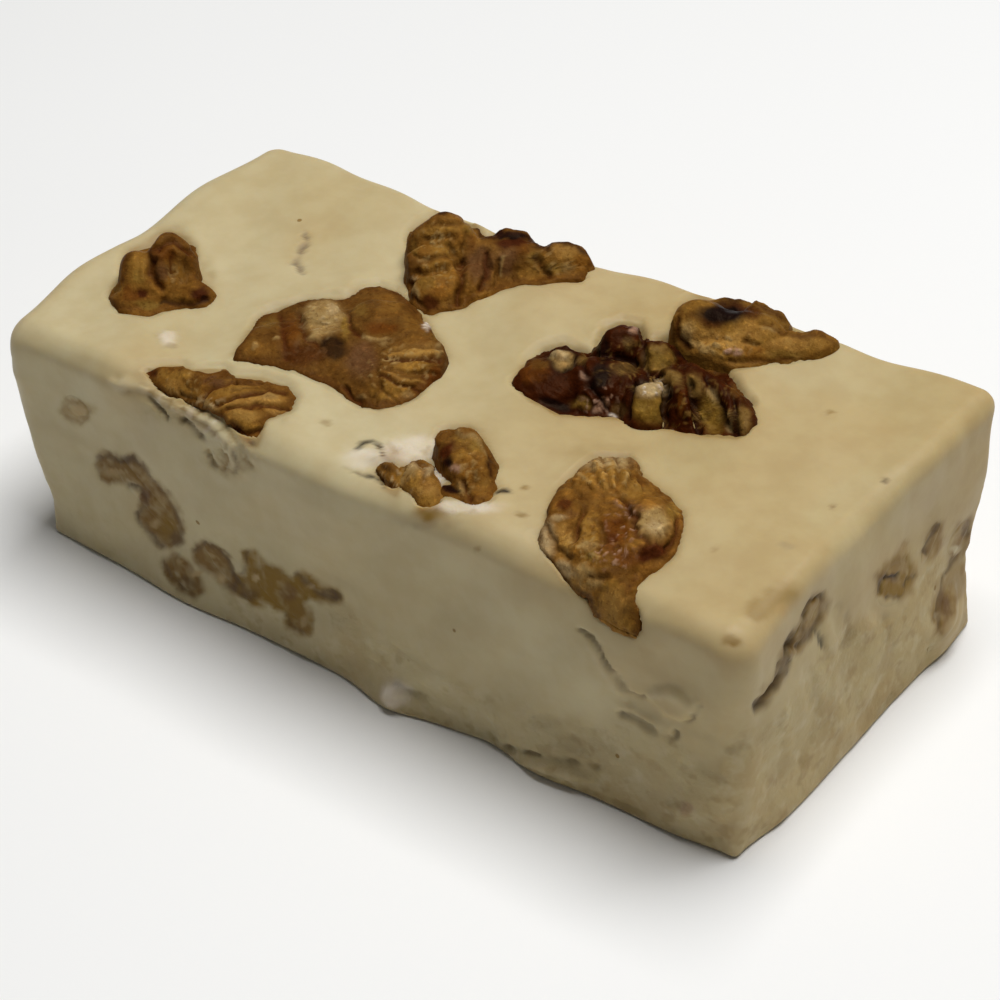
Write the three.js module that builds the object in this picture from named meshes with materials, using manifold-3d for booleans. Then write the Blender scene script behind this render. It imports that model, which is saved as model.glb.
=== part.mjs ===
// A cut slab of pale fudge with walnut pieces pressed into its top and cut through at its sides.
// Millimetres, +Z up. The origin is the middle of the base. +X points out of the short cut end,
// -Y out of the long cut face, and the opposite end keeps the soft round corner of the tray.
import * as THREE from "three";
import { mergeVertices } from "three/addons/utils/BufferGeometryUtils.js";
import Module from "manifold-3d";

const wasm = await Module();
wasm.setup();

// Driving dimensions: the faces of the slab before it slumps and wears. Its base is at 0.
const FACE = { left: -54, right: 55.5, front: -25.6, back: 26.2, top: 33.2 };
const CUT_EDGE = 1.5; // round on the edges a knife left
const BASE_EDGE = 0.7; // round at the foot
const BASE_REACH = 8; // height over which the foot's round grows to the one above
const TRAY_EDGE = 3.6; // round on the end that lay against the tray
const TRAY_REACH = 14; // how far from that end its rounding fades out
const SLAB_STEPS = [26, 13, 8]; // grid steps along X, Y and Z
const CROWDING = 1.15; // radians of a sine that crowds the grid towards the edges

const POCKET_GAP = 0.3; // clearance between a nut and the fudge round it
const FLUSH = 0.15; // how far a cut nut stands proud of the face it shows in
const SET = 41; // degrees from the slab's axes to those the walnuts are set out in
const WAIST = -1.6; // height of a walnut's widest outline over the top of the slab
const SMEAR = 0.3; // radians over which a walnut's outline is evened out
const FLAT_CROWN = 6; // power of the shoulder between a walnut's crown and its side

const FUDGE = { color: 0xd8c69b, roughness: 0.5 };
const SKIN = { color: 0x8a5a20, roughness: 0.35 };
const DARK_SKIN = { color: 0x4f2c10, roughness: 0.35 };
const FLESH = { color: 0xb99a62, roughness: 0.6 };

// Places where the slab swells or is worn back: the middle, how far it reaches and how far it is pushed.
const SWELLS = [
  { at: [-54, -14, 26], reach: [10, 10, 18], push: [-2.2, 0, 0] }, // belly of the tray end
  { at: [-54, -24, 16], reach: [8, 9, 8], push: [-1, 0, 0] }, // low on its corner
  { at: [-54, 6, 33], reach: [10, 14, 14], push: [-1.2, 0, 0] }, // and along its top
  { at: [-54, -25, 0], reach: [9, 9, 10], push: [1.6, 0.2, 0] }, // its foot, drawn in
  { at: [55.5, -25.6, 0], reach: [7, 7, 11], push: [-1.5, 1.1, 0] }, // near corner, worn back
  { at: [56, 24, 2], reach: [8, 12, 12], push: [0.4, -2.2, 0] }, // far corner of the cut end, at its foot
  { at: [56, 25, 32], reach: [8, 12, 14], push: [0.7, 0, 0] }, // and at its top
  { at: [6, -25.6, 0], reach: [5, 4, 4.5], push: [0, -1.5, 0] }, // lumps and dips along the front foot
  { at: [-28, -25.6, 0], reach: [8, 4, 7], push: [0, -0.8, 0] },
  { at: [28, -25.6, 0], reach: [5, 4, 6], push: [0, -0.6, 0] },
  { at: [20, -25.6, 0], reach: [4, 4, 5], push: [0, 0.7, 0] },
  { at: [0, -25.6, 0], reach: [60, 5, 8], push: [0, -0.5, 0] }, // the whole of the front foot
  { at: [40, -25.6, 10], reach: [16, 6, 14], push: [0, 0.6, 0] }, // flaked stretch of the long face
  { at: [0, -25.6, 30], reach: [30, 5, 12], push: [0, -0.8, 0] }, // its upper middle
  { at: [48, 26.2, 33], reach: [14, 6, 20], push: [0, 0.9, 0] }, // back edge, out at the cut end
  { at: [10, 26.2, 33], reach: [11, 6, 14], push: [0, 1, 0] }, // out again in the middle
  { at: [-26, 26.2, 33], reach: [14, 6, 14], push: [0, -1.3, 0] }, // and in beside the back walnut
  { at: [0, 26.2, 6], reach: [60, 8, 10], push: [0, -1.2, 0] }, // foot of the back
  { at: [55.5, 20, 5], reach: [4, 4.5, 4], push: [1.3, 0, 0] }, // nut lump low on the cut end
];

// Slow ripples over every face: amplitude, radians a millimetre along X, Y and Z, and phase.
const RIPPLES = [
  { size: 0.28, wave: [0.21, 0.13, 0.17], phase: 0.4 },
  { size: 0.22, wave: [-0.12, 0.31, 0.26], phase: 2.1 },
  { size: 0.14, wave: [0.47, 0.22, -0.39], phase: 4.4 },
];
const FOOT_RISE = 7; // ripples fade to nothing over this height, so the base lies flat
const TOP_REACH = 14; // depth over which the top's relief fades out
const FACE_POWER = 5; // how closely ripples keep to the faces, and away from the middle

// Hollows round the walnuts and rises between them on the poured top: middle, reach and height.
const TOP_RELIEF = [
  { at: [21, 3], reach: [17, 9], rise: -1.5 },
  { at: [-12, -5], reach: [14, 9], rise: -0.9 },
  { at: [-43, -7], reach: [9, 8], rise: -0.6 },
  { at: [34, -18], reach: [9, 10], rise: -0.7 },
  { at: [13, -17], reach: [8, 7], rise: -0.5 },
  { at: [-12, 14], reach: [12, 9], rise: -0.4 },
  { at: [26, 19], reach: [12, 7], rise: -0.5 },
  { at: [22, -9], reach: [9, 5], rise: 0.5 },
  { at: [2, 8], reach: [7, 9], rise: 0.5 },
  { at: [-50, 24], reach: [10, 9], rise: 1.1 },
];

// Walnut pieces in the top: the middle, grid steps, the level of the web between lobes, how deep the piece
// is sunk, and its lobes. A lobe is [x, y, z, half length, half width, half height, turn about Z], from the
// piece's middle at the top of the slab, in the set-out axes.
const WALNUTS = [
  {
    name: "walnut_back_left", finish: SKIN, at: [-41.5, -9], steps: 6, web: 0.6, depth: 4,
    lobes: [
      [1.5, 2, 1.5, 3.2, 3, 4.8, 0], // upright arch
      [0.5, 0.5, 2, 1.6, 2.6, 3.2, 0], // fold raised inside it
      [-3, 1.5, 1, 3, 3, 3.6, 15], // left shoulder
      [-3, -2.5, 0.3, 3.4, 1.6, 1.4, 5], // feet
      [4, -1.5, 0.3, 3.2, 2.7, 1.6, -20],
    ],
  },
  {
    name: "walnut_left_half", finish: SKIN, at: [-11.5, -6], steps: 7, web: -0.6, depth: 5,
    lobes: [
      [-10.5, 2.5, -0.2, 6, 4.2, 2.4, 12], // dark tapering lobe
      [-3, 0, -0.8, 7.2, 5.4, 2.4, -8], // hollow middle
      [-4.5, 5.5, 1.3, 2.4, 2.1, 2, -5], // pale broken corner
      [2.5, 4.5, 0.8, 4.2, 4.6, 3.4, 0], // smooth dome
      [6.5, -0.5, 0.4, 3.8, 3, 2.3, -20], // folds that fan out to the right
      [6, -4.5, 0, 4, 2.6, 2.3, 5],
      [3, -7.5, -0.2, 4.2, 2.8, 2.3, 15],
    ],
  },
  {
    name: "walnut_back_middle", finish: SKIN, at: [-10, 15], steps: 7, web: 0.4, depth: 4,
    lobes: [
      [-4, 3.5, 2.2, 4.6, 3.4, 4.2, -8], // tall ridged fan
      [-6, -0.5, 1, 3.7, 2.8, 3.2, 0],
      [-5.5, -4.5, 0.4, 3.2, 2.4, 2.2, 20],
      [-1.5, -3, 0.4, 3.4, 2.6, 2.2, 30],
      [2.5, 1, 1, 5.8, 3, 2.8, -10], // saddle
      [4.5, 3, 2.4, 2.2, 1.3, 1.4, -8], // dark chip on its edge
      [10.5, 0, 0.7, 4.8, 2.5, 2.2, -6], // golden end
    ],
  },
  {
    name: "walnut_front_left", finish: SKIN, at: [-20, -22], steps: 6, web: -0.9, depth: 10,
    lobes: [
      [-5.5, 4, -0.6, 3.2, 2.6, 1.7, -30], // long ridges side by side
      [-2, 3, -0.3, 4, 2.2, 1.8, -10],
      [1.5, 0.5, -0.3, 4.6, 1.7, 1.7, 2],
      [3.5, -1.5, -0.7, 5.2, 1.7, 1.7, -6],
      [3, -3.5, -1.4, 3.8, 2.2, 2, -12],
      [-0.5, -2, -2.8, 7.4, 3.4, 4, -42], // broken body under them
    ],
  },
  {
    name: "walnut_front_middle", finish: SKIN, at: [12, -16.5], steps: 5, web: -0.3, depth: 4,
    lobes: [
      [0.5, 2, 0.4, 3.4, 2.9, 2.5, -25],
      [1.5, -3, 0, 2.6, 2.7, 2.1, 0],
      [-2, 1.5, 0.2, 1.4, 2.4, 2, 30],
    ],
  },
  {
    name: "walnut_front_crumb", finish: SKIN, at: [8.5, -21.5], steps: 5, web: -0.6, depth: 6,
    lobes: [
      [1.5, -2, -1.5, 2.4, 3.4, 2.8, 20],
      [-2, 0.5, -0.6, 2.1, 1.6, 1.7, -30],
      [0.5, 1, -0.2, 2.2, 1.4, 1.4, -20],
    ],
  },
  {
    name: "walnut_front_right", finish: SKIN, at: [34, -18], steps: 7, web: -0.7, depth: 9,
    lobes: [
      [0.5, 8.5, -0.1, 4.3, 3.9, 2.6, -10], // rim of the bowl
      [-4.5, 4, -0.3, 3.6, 4.8, 2.4, 8],
      [-1, 2, -0.9, 5, 6.2, 2.4, 0], // its hollow
      [4.5, 1.5, 0.7, 2.5, 3, 1.9, 0], // pale round chip
      [3, -3, -0.2, 3.2, 2.6, 2.1, 25], // dark fold
      [-2, -4.5, -0.7, 3.9, 3.4, 2.3, -15],
      [-0.5, -8.5, -1.9, 4, 3, 3.2, -42], // tail over the edge
    ],
  },
  {
    name: "walnut_centre_half", finish: DARK_SKIN, at: [21, 7], steps: 8, web: -0.9, depth: 6,
    lobes: [
      [-11, 3, -1, 5, 4.4, 2.6, -10], // left bowl
      [-9, 5, 0.6, 2, 2, 2, 0], // pale chip on it
      [-2.5, 6.5, 0.9, 2.9, 2.5, 2.5, 10], // dark twisted ridge
      [-5, 1, -0.3, 4.2, 4.6, 2.7, 20],
      [-0.5, -3.5, 0.1, 2.3, 4, 2.3, 0], // pale block
      [1.5, 5, 0.1, 2.4, 2.8, 2.2, 0],
      [3.5, -3, -0.1, 2, 5, 2.6, 8], // ridges side by side
      [6, -2.5, 0.1, 2.1, 5, 2.4, 18],
      [8, -5, -0.3, 2, 5, 2.3, 22],
      [10, -8, -0.6, 1.9, 3.8, 1.8, 10],
      [-1, 1.5, -2.2, 12, 4.4, 2, -14], // body under them
    ],
  },
  {
    name: "walnut_back_right", finish: SKIN, at: [26.5, 20], steps: 6, web: 0.6, depth: 4,
    lobes: [
      [-5, 2.5, 1.1, 4.3, 3.5, 3.2, 0], // smooth rounded body
      [-0.5, 0.5, 1, 5, 3.2, 3, -14],
      [2.5, 3, 1.6, 2.8, 1.4, 1.9, -26], // rim
      [-2.5, -2.5, 0.2, 4, 1.6, 1.6, -8],
      [6, -2.5, 0.4, 5.6, 2.1, 1.9, -6], // tail
    ],
  },
];

// Nuts cut through in the long face and in the short end: place on the face (along it, up), half length,
// half width and turn in the plane of the face.
const CUT_DEPTH = 2.2; // how far a cut nut runs into the slab
const CUT_STEPS = 3; // grid steps on each side of a cut nut or a crack
const FRONT_NUTS = [
  { at: [-33, 15], half: [8.6, 2.5], turn: -38 },
  { at: [-27, 5.2], half: [4.2, 2.7], turn: 75 },
  { at: [-20.2, 9.8], half: [3.9, 3.2], turn: -30 },
  { at: [-10.4, 9.6], half: [6.8, 3.2], turn: -24 },
  { at: [-42.3, 24.6], half: [2.5, 2], turn: 20 },
];
const END_NUTS = [
  { at: [-13.4, 26.4], half: [4.8, 1.4], turn: 34 },
  { at: [5.6, 19.2], half: [5, 3.4], turn: -30 },
  { at: [14, 19.6], half: [3.4, 1.5], turn: 52 },
  { at: [20.8, 15.6], half: [3.4, 2.6], turn: -40 },
  { at: [18.6, 7.4], half: [4.6, 2.4], turn: 50 },
];

// Cracks in the long face, the short end and the top: place on the face, half length and turn.
const CRACK = { width: 0.45, depth: 1.1 }; // half width and depth of every crack
const FRONT_CRACKS = [
  { at: [39.6, 23.2], half: 3.2, turn: -64 },
  { at: [43.6, 16.8], half: 3.6, turn: -7 },
];
const END_CRACKS = [{ at: [-19.4, 23.3], half: 4.2, turn: 24 }];
const TOP_CRACKS = [{ at: [-31.8, 6], half: 4.6, turn: -45 }];

const X = new THREE.Vector3(1, 0, 0);
const Y = new THREE.Vector3(0, 1, 0);
const Z = new THREE.Vector3(0, 0, 1);
const radians = THREE.MathUtils.degToRad;
const smooth = (t) => THREE.MathUtils.smoothstep(t, 0, 1);
const total = (numbers) => numbers.reduce((sum, number) => sum + number, 0);

// 1 in the middle of a place and falling away like a bell with the distance from it.
function bell(p, at, reach) {
  return Math.exp(-total(at.map((middle, i) => ((p[i] - middle) / reach[i]) ** 2)));
}

// A box from -1 to 1 with its shared corners merged and each vertex moved to where place(vertex) says.
function shapedBox(steps, place) {
  const box = new THREE.BoxGeometry(2, 2, 2, ...steps);
  box.deleteAttribute("normal");
  box.deleteAttribute("uv");
  const merged = mergeVertices(box);
  const position = merged.getAttribute("position");
  for (let i = 0; i < position.count; i++) {
    const vertex = new THREE.Vector3().fromBufferAttribute(position, i);
    position.setXYZ(i, ...place(vertex).toArray());
  }
  return merged;
}

// The closed solid of a geometry.
function solidOf(geometry) {
  return new wasm.Manifold(
    new wasm.Mesh({
      numProp: 3,
      vertProperties: geometry.getAttribute("position").array,
      triVerts: new Uint32Array(geometry.index.array),
    }),
  );
}

// The geometry of a solid.
function geometryOf(solid) {
  const { vertProperties, triVerts } = solid.getMesh();
  return new THREE.BufferGeometry()
    .setAttribute("position", new THREE.BufferAttribute(vertProperties, 3))
    .setIndex(new THREE.BufferAttribute(triVerts, 1));
}

// A point of the cube carried to the slab's box, with its edges rounded.
function onRoundedSlab(cube) {
  const low = new THREE.Vector3(FACE.left, FACE.front, 0);
  const high = new THREE.Vector3(FACE.right, FACE.back, FACE.top);
  const share = cube.toArray().map((s) => 0.5 + (0.5 * Math.sin(s * CROWDING)) / Math.sin(CROWDING));
  const point = new THREE.Vector3(...share).multiply(high.clone().sub(low)).add(low);
  const lifted = smooth(point.z / BASE_REACH);
  const near = smooth((FACE.left + TRAY_REACH - point.x) / TRAY_REACH);
  const side = THREE.MathUtils.lerp(CUT_EDGE, TRAY_EDGE, near);
  const round = THREE.MathUtils.lerp(BASE_EDGE, side, lifted);
  const core = point.clone().clamp(low.clone().addScalar(round), high.clone().addScalar(-round));
  const out = point.clone().sub(core);
  return out.length() > 0 ? core.add(out.setLength(round)) : point;
}

// The slab's own slump: swells and ripples sideways, hollows and rises on the top.
function slumped(point) {
  const p = point.toArray();
  const moved = point.clone();
  for (const { at, reach, push } of SWELLS)
    moved.addScaledVector(new THREE.Vector3(...push), bell(p, at, reach));
  const ripple = total(
    RIPPLES.map(({ size, wave, phase }) => size * Math.sin(total(wave.map((w, i) => w * p[i])) + phase)),
  );
  const lifted = smooth(p[2] / FOOT_RISE);
  moved.x += ripple * lifted * (p[0] / FACE.right) ** FACE_POWER;
  moved.y += ripple * lifted * (p[1] / FACE.back) ** FACE_POWER;
  const relief = total(TOP_RELIEF.map(({ at, reach, rise }) => rise * bell(p, at, reach)));
  moved.z += (relief + ripple) * smooth((p[2] - FACE.top + TOP_REACH) / TOP_REACH);
  return moved;
}

// A point of a walnut's plan in a lobe's own axes, as shares of the lobe's half length and half width.
function inLobe(x, y, [, , , length, width, , turn]) {
  const c = Math.cos(radians(turn));
  const s = Math.sin(radians(turn));
  return new THREE.Vector2((x * c + y * s) / length, (y * c - x * s) / width);
}

// How far from a walnut's middle a ray at this angle leaves its lobes for good.
function leaves(angle, lobes) {
  const reaches = lobes.map((lobe) => {
    const along = inLobe(Math.cos(angle), Math.sin(angle), lobe);
    const middle = inLobe(lobe[0], lobe[1], lobe);
    const spare = along.lengthSq() - along.cross(middle) ** 2;
    return spare < 0 ? 0 : (along.dot(middle) + Math.sqrt(spare)) / along.lengthSq();
  });
  return Math.max(...reaches);
}

// A walnut's outline at an angle: where its lobes end, evened out over the angles near by.
function outline(angle, lobes) {
  const shares = [-1, -0.6, -0.2, 0.2, 0.6, 1];
  return total(shares.map((share) => leaves(angle + share * SMEAR, lobes))) / shares.length;
}

// How high a walnut stands over a point of its plan: the tallest lobe there, or the web between lobes.
function crown(x, y, lobes, web) {
  const heights = lobes.map((lobe) => {
    const [middleX, middleY, z, , , height] = lobe;
    const within = 1 - inLobe(x - middleX, y - middleY, lobe).lengthSq();
    return within > 0 ? z + height * Math.sqrt(within) : web;
  });
  return Math.max(web, ...heights);
}

// A walnut's solid: crowned with its lobes above the waist, a bowl below it, and grown by an amount all round.
function walnutSolid({ steps, web, depth, lobes }, pose, grown = 0) {
  const ball = shapedBox([steps, steps, steps], (cube) => {
    const direction = cube.clone().normalize();
    const share = Math.min(1, Math.hypot(direction.x, direction.y));
    const angle = Math.atan2(direction.y, direction.x);
    const reach = outline(angle, lobes) * share;
    const x = reach * Math.cos(angle);
    const y = reach * Math.sin(angle);
    const shoulder = Math.cbrt(1 - share ** FLAT_CROWN);
    const above = (crown(x, y, lobes, web) - WAIST) * shoulder;
    const below = (depth + WAIST) * direction.z;
    const z = WAIST + (direction.z > 0 ? above : below);
    return new THREE.Vector3(x, y, z).addScaledVector(direction, grown);
  });
  return solidOf(ball.applyMatrix4(pose));
}

// An ellipsoid with these half sizes, turned about Z in the axes of a pose and grown by an amount all round.
function ellipsoid(sizes, turn, pose, grown = 0) {
  const half = new THREE.Vector3(...sizes).addScalar(grown);
  const steps = [CUT_STEPS, CUT_STEPS, CUT_STEPS];
  const ball = shapedBox(steps, (cube) => cube.clone().normalize().multiply(half));
  return solidOf(ball.rotateZ(radians(turn)).applyMatrix4(pose));
}

// All that lies behind the long face or the short end, taken as a plane at the place given.
function behind({ front = 2 * FACE.front, right = 2 * FACE.right }) {
  const low = new THREE.Vector3(2 * FACE.left, front, -FACE.top);
  const high = new THREE.Vector3(right, 2 * FACE.back, 2 * FACE.top);
  const size = high.clone().sub(low);
  return solidOf(shapedBox([1, 1, 1], (cube) => cube.addScalar(1).multiplyScalar(0.5).multiply(size).add(low)));
}

// A named mesh of a solid, standing at its own middle.
function part(name, solid, middle, finish) {
  const geometry = geometryOf(solid).translate(-middle.x, -middle.y, -middle.z);
  const mesh = new THREE.Mesh(geometry, new THREE.MeshStandardMaterial(finish));
  mesh.name = name;
  mesh.position.copy(middle);
  return mesh;
}

// A walnut piece in the top, ending at the long face where it reaches it, and the pocket it lies in.
function walnut(spec) {
  const [x, y] = spec.at;
  const middle = new THREE.Vector3(x, y, FACE.top);
  const pose = new THREE.Matrix4().makeRotationZ(radians(SET)).setPosition(middle);
  const face = slumped(new THREE.Vector3(x, FACE.front, FACE.top)).y - FLUSH;
  const solid = walnutSolid(spec, pose).intersect(behind({ front: face }));
  return { mesh: part(spec.name, solid, middle, spec.finish), pocket: walnutSolid(spec, pose, POCKET_GAP) };
}

// The faces that show nuts and cracks: which way along, up and out of each point, a point of it before it
// slumps, and all that lies behind it there.
const LONG_FACE = {
  axes: [X, Z, Y.clone().negate()],
  point: (x, z) => new THREE.Vector3(x, FACE.front, z),
  behind: ({ y }) => behind({ front: y - FLUSH }),
};
const SHORT_END = {
  axes: [Y, Z, X],
  point: (y, z) => new THREE.Vector3(FACE.right, y, z),
  behind: ({ x }) => behind({ right: x + FLUSH }),
};
const TOP = { axes: [X, Y, Z], point: (x, y) => new THREE.Vector3(x, y, FACE.top) };

// Where a nut or a crack lies in a face.
function poseIn(face, at) {
  const middle = slumped(face.point(...at));
  return { middle, pose: new THREE.Matrix4().makeBasis(...face.axes).setPosition(middle) };
}

// A nut cut through in a face, and the pocket it lies in.
function cutNut(name, { at, half, turn }, face) {
  const { middle, pose } = poseIn(face, at);
  const sizes = [...half, CUT_DEPTH];
  const solid = ellipsoid(sizes, turn, pose).intersect(face.behind(middle));
  return { mesh: part(name, solid, middle, FLESH), pocket: ellipsoid(sizes, turn, pose, POCKET_GAP) };
}

// A crack in a face, as the solid it takes out.
function crack({ at, half, turn }, face) {
  return ellipsoid([half, CRACK.width, CRACK.depth], turn, poseIn(face, at).pose);
}

const nuts = [
  ...WALNUTS.map(walnut),
  ...FRONT_NUTS.map((spec, i) => cutNut(`nut_front_${i + 1}`, spec, LONG_FACE)),
  ...END_NUTS.map((spec, i) => cutNut(`nut_end_${i + 1}`, spec, SHORT_END)),
];
const hollows = [
  ...nuts.map(({ pocket }) => pocket),
  ...FRONT_CRACKS.map((spec) => crack(spec, LONG_FACE)),
  ...END_CRACKS.map((spec) => crack(spec, SHORT_END)),
  ...TOP_CRACKS.map((spec) => crack(spec, TOP)),
];
const poured = solidOf(shapedBox(SLAB_STEPS, (cube) => slumped(onRoundedSlab(cube))));
const fudge = hollows.reduce((solid, hollow) => solid.subtract(hollow), poured);

const slab = new THREE.Group();
slab.add(part("fudge_block", fudge, new THREE.Vector3(), FUDGE), ...nuts.map(({ mesh }) => mesh));

// The middle of the base goes to the origin.
const extent = new THREE.Box3().setFromObject(slab);
const centre = extent.getCenter(new THREE.Vector3());
slab.position.set(-centre.x, -centre.y, -extent.min.z);

export default slab;
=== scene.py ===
"""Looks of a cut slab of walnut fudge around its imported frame: fudge, walnuts, crumbs and a plain stage."""

import bpy
import numpy as np
from mathutils import Matrix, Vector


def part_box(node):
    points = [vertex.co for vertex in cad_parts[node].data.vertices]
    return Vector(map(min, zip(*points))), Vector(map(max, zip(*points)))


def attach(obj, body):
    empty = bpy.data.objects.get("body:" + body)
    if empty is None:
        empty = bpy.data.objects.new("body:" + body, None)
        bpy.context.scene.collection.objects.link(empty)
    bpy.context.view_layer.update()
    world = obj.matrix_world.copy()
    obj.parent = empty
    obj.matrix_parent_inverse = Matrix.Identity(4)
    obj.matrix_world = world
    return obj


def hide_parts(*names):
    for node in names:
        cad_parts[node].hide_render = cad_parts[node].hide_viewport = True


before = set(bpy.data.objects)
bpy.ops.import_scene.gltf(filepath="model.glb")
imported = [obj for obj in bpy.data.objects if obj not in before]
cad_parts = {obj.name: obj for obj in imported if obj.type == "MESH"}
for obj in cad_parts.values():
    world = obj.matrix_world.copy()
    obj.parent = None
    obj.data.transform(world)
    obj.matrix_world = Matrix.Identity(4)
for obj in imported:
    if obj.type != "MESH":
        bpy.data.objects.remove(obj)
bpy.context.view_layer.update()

# Everything is worked out in the slab's own millimetres and becomes metres when a mesh is made.
METRES = 0.001
TINY = 1e-12  # least length to divide by
LOW = np.array([-54, -25.6, 0])  # faces of the slab before it slumps: left, front and base
HIGH = np.array([55.5, 26.2, 33.2])  # right, back and top
LEFT, FRONT = LOW[:2]
RIGHT, BACK, TOP = HIGH
CUT_EDGE = 2.4  # round on the edges a knife left
FRONT_EDGE = 3.4  # softer round along the top of the long face
FRONT_DEPTH = 6  # depth under the top over which it fades out
FRONT_SHARE = 0.4  # how much of it is left at the cut end
FRONT_CRISP = 4  # and how far that goes before it grows
BASE_EDGE = 0.7  # round at the foot
BASE_REACH = 8  # height over which the foot's round grows to the one above
CORNER_EDGE = 3.4  # round on the near upright corner
CORNER_REACH = 9  # and how far it reaches
TRAY_EDGE = 3.6  # round on the end that lay against the tray
TRAY_REACH = 14  # how far from that end its rounding fades out
FOOT_RISE = 7  # ripples fade to nothing over this height
TOP_REACH = 14  # depth over which the top's relief fades out
FACE_POWER = 5  # how closely ripples keep to the faces
SLAB_STEPS = (262, 124, 78)  # squares of the fudge's grid along X, Y and Z
COARSE_STEPS = (60, 30, 20)  # and of a grid that is only measured
SLAB_CROWDING = 0.6  # radians of a sine that crowds the grid towards the edges

# Walnuts, in millimetres unless said otherwise.
SET = np.radians(41)  # from the slab's axes to those the walnuts are set out in
WAIST = -1.6  # height of a walnut's widest outline over the top of the slab
EDGE_REACH = 4.6  # how far from the long face a walnut bends down over the edge
EDGE_BEND = 0.5  # how far it bends there, for each millimetre of that reach
EDGE_POWERS = (2, 8)  # powers of its nearness to the long face that the bend follows
EDGE_WAIST = 3  # how much lower its widest outline is there
EDGE_GAIN = 1.6  # how much sooner that sets in
DOME_POWER = 0.7  # roundness of a lobe's dome
LOBE_FLOOR = -4  # height below which a lobe no longer counts
CROWN_DROP = 0.4  # what running lobes together adds, taken off again, in the heights over which they do
NOTCH = 24  # degrees to each side over which notches in a walnut's outline are closed
SMEAR = 6  # degrees to each side over which that outline is evened out
LAP = 1.08  # a walnut's hidden skirt beside its solid's outline, under the fudge
SKIRT = 4.5  # and how much further it runs
RIM_SHARE = 0.05  # share of the way in from the waist over which the skin comes up
FALL = 0.3  # millimetres a walnut falls for each pixel outside the outline that shows
FALL_START = 5  # pixels over which that fall sets in
CUT_SOFT = 0.6  # how far past the long face a walnut is cut to flesh
BESIDE = 2.5  # depth behind the long face in which a walnut goes behind the fudge outside its outline
BESIDE_MOST = 3  # and how far it goes at most
BACK_COVER = 1.6  # fudge left behind a walnut's waist at the back of the slab
BACK_BARE = 1.4  # how much less there is behind its skin
WALNUT_STEP = 0.2  # between the lines of a walnut's grid
WALNUT_LEAST, WALNUT_MOST = 60, 140  # fewest and most squares across it
WALNUT_SIDE = 24  # squares up its side
FAR_SIDE = 0.35  # turn away from the photograph's view over which a walnut's marks fade out
WRINKLE_HEIGHT = 0.3  # height of the wrinkles of a walnut with a grain of 1
BANK_HEIGHT = 0.3  # banks beside a stroke, as a share of its depth
BANK_PLACE = 2.2  # and how many half widths from its middle they are
CUT_FLESH = 0.6  # how pale a cut walnut is
FLESH_LEVEL = 0.6  # how much of the cut is flesh
STROKE_PAINT = 0.8  # how strong strokes are; dark ones along grooves and lower outlines are partly painted shade
FLECK_PAINT = 0.7  # and flecks
WRINKLE_SHADE_LEAST, WRINKLE_SHADE_MORE = 0.2, 0.5  # painted shade in the lows of wrinkles: how dark it is, and how much darker with a grain of 1
WRINKLE_SHADE_CHANNELS = (0.4, 0.5, 0.6)  # what that painted shade takes from red, green and blue
WRINKLE_HIGHLIGHT = 0.4  # painted highlight on the highs of wrinkles: how much paler they are
RIM_SHADE_WIDTH = 4  # pixels over which painted shade darkens a walnut's rim, where it meets the fudge
RIM_SHADE_PAINT = 0.35  # and how dark that painted shade is

# Fudge, in millimetres unless said otherwise.
LIP_SINK = 0.3  # how far below a walnut's skin the fudge beside it settles
LIP_LEAST, LIP_MOST = -0.2, 0.25  # how far it is drawn down and up there
LIP_EVEN = 0.8  # how much of that there is, before clouds
LIP_REACH = 20  # pixels over which it fades out
LIP_CLEAR = 1  # how far it stays off the long face
UNDER = 0.8  # how far under a walnut's skin the fudge runs
STEP_BACK = 2  # how far the long face steps back behind a walnut
STEP_FADE = 1.5  # height over the walnut's bottom in which that sets in
RELIEF_RISE = 1.5  # height over which fine relief sets in
FLAKE_HEIGHT, PIT_DEPTH = 0.16, 0.18  # flakes and pits where it crumbles
FLAKE_SHAPE = (1, 1, 1.3)  # flakes are lower than wide
END_STROKE = (1, 1, 0.22)  # the knife went down the short end
FRONT_STROKE = (0.2, 1, 1)  # and along the long face
CRUMB_FADE = 7  # height over which it stops crumbling
CRUMB_SMEARED = 0.7  # how much less it crumbles where the long face is smeared
CRUMB_TURN = 0.7  # upward facing at which it no longer crumbles
# How high each side crumbles, by its outward direction.
CRUMB_HEIGHTS = [((0, -1, 0), 15), ((1, 0, 0), 21), ((0, 1, 0), 14), ((-1, 0, 0), 7)]
SIDE_FADE = 0.2  # facing the photograph's view over which what is drawn sets in
LINE_WIDTH, LINE_SHOWS = 0.85, 0.8  # how wide lines are and how much of them shows, before clouds
PATCH_LEVEL = 0.85  # how strong patches are, before clouds
STAIN_LEVEL = 0.95  # how strong the stains of cut nuts are, before clouds
STAIN_START = 5  # pixels outside a cut nut's outline at which its stain starts
STAIN_SPAN = 9  # pixels from there to its full strength
YELLOW, YELLOW_RIGHT, YELLOW_BACK = 0.3, 0.35, 0.2  # butter all over, and more to the right and the back
TAN_RIGHT = 0.3  # more tan to the right
TAN_SPAN = 0.7  # clouds over which tan sets in
TAN_PAINT = 0.35  # how strong it is
CRUMB_SPAN = 0.6  # clouds over which paler and duller places set in where it crumbles
CRUMB_PAINT = 0.3  # how strong they are
WALNUT_STAINS_AND_SHADE = [(0.5, 3), (0.2, 9)]  # stains round the walnuts, partly painted contact shade where the fudge meets them: strength and reach in pixels
BASE_FLAT = 1e-6  # height under which a point is on the base

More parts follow.
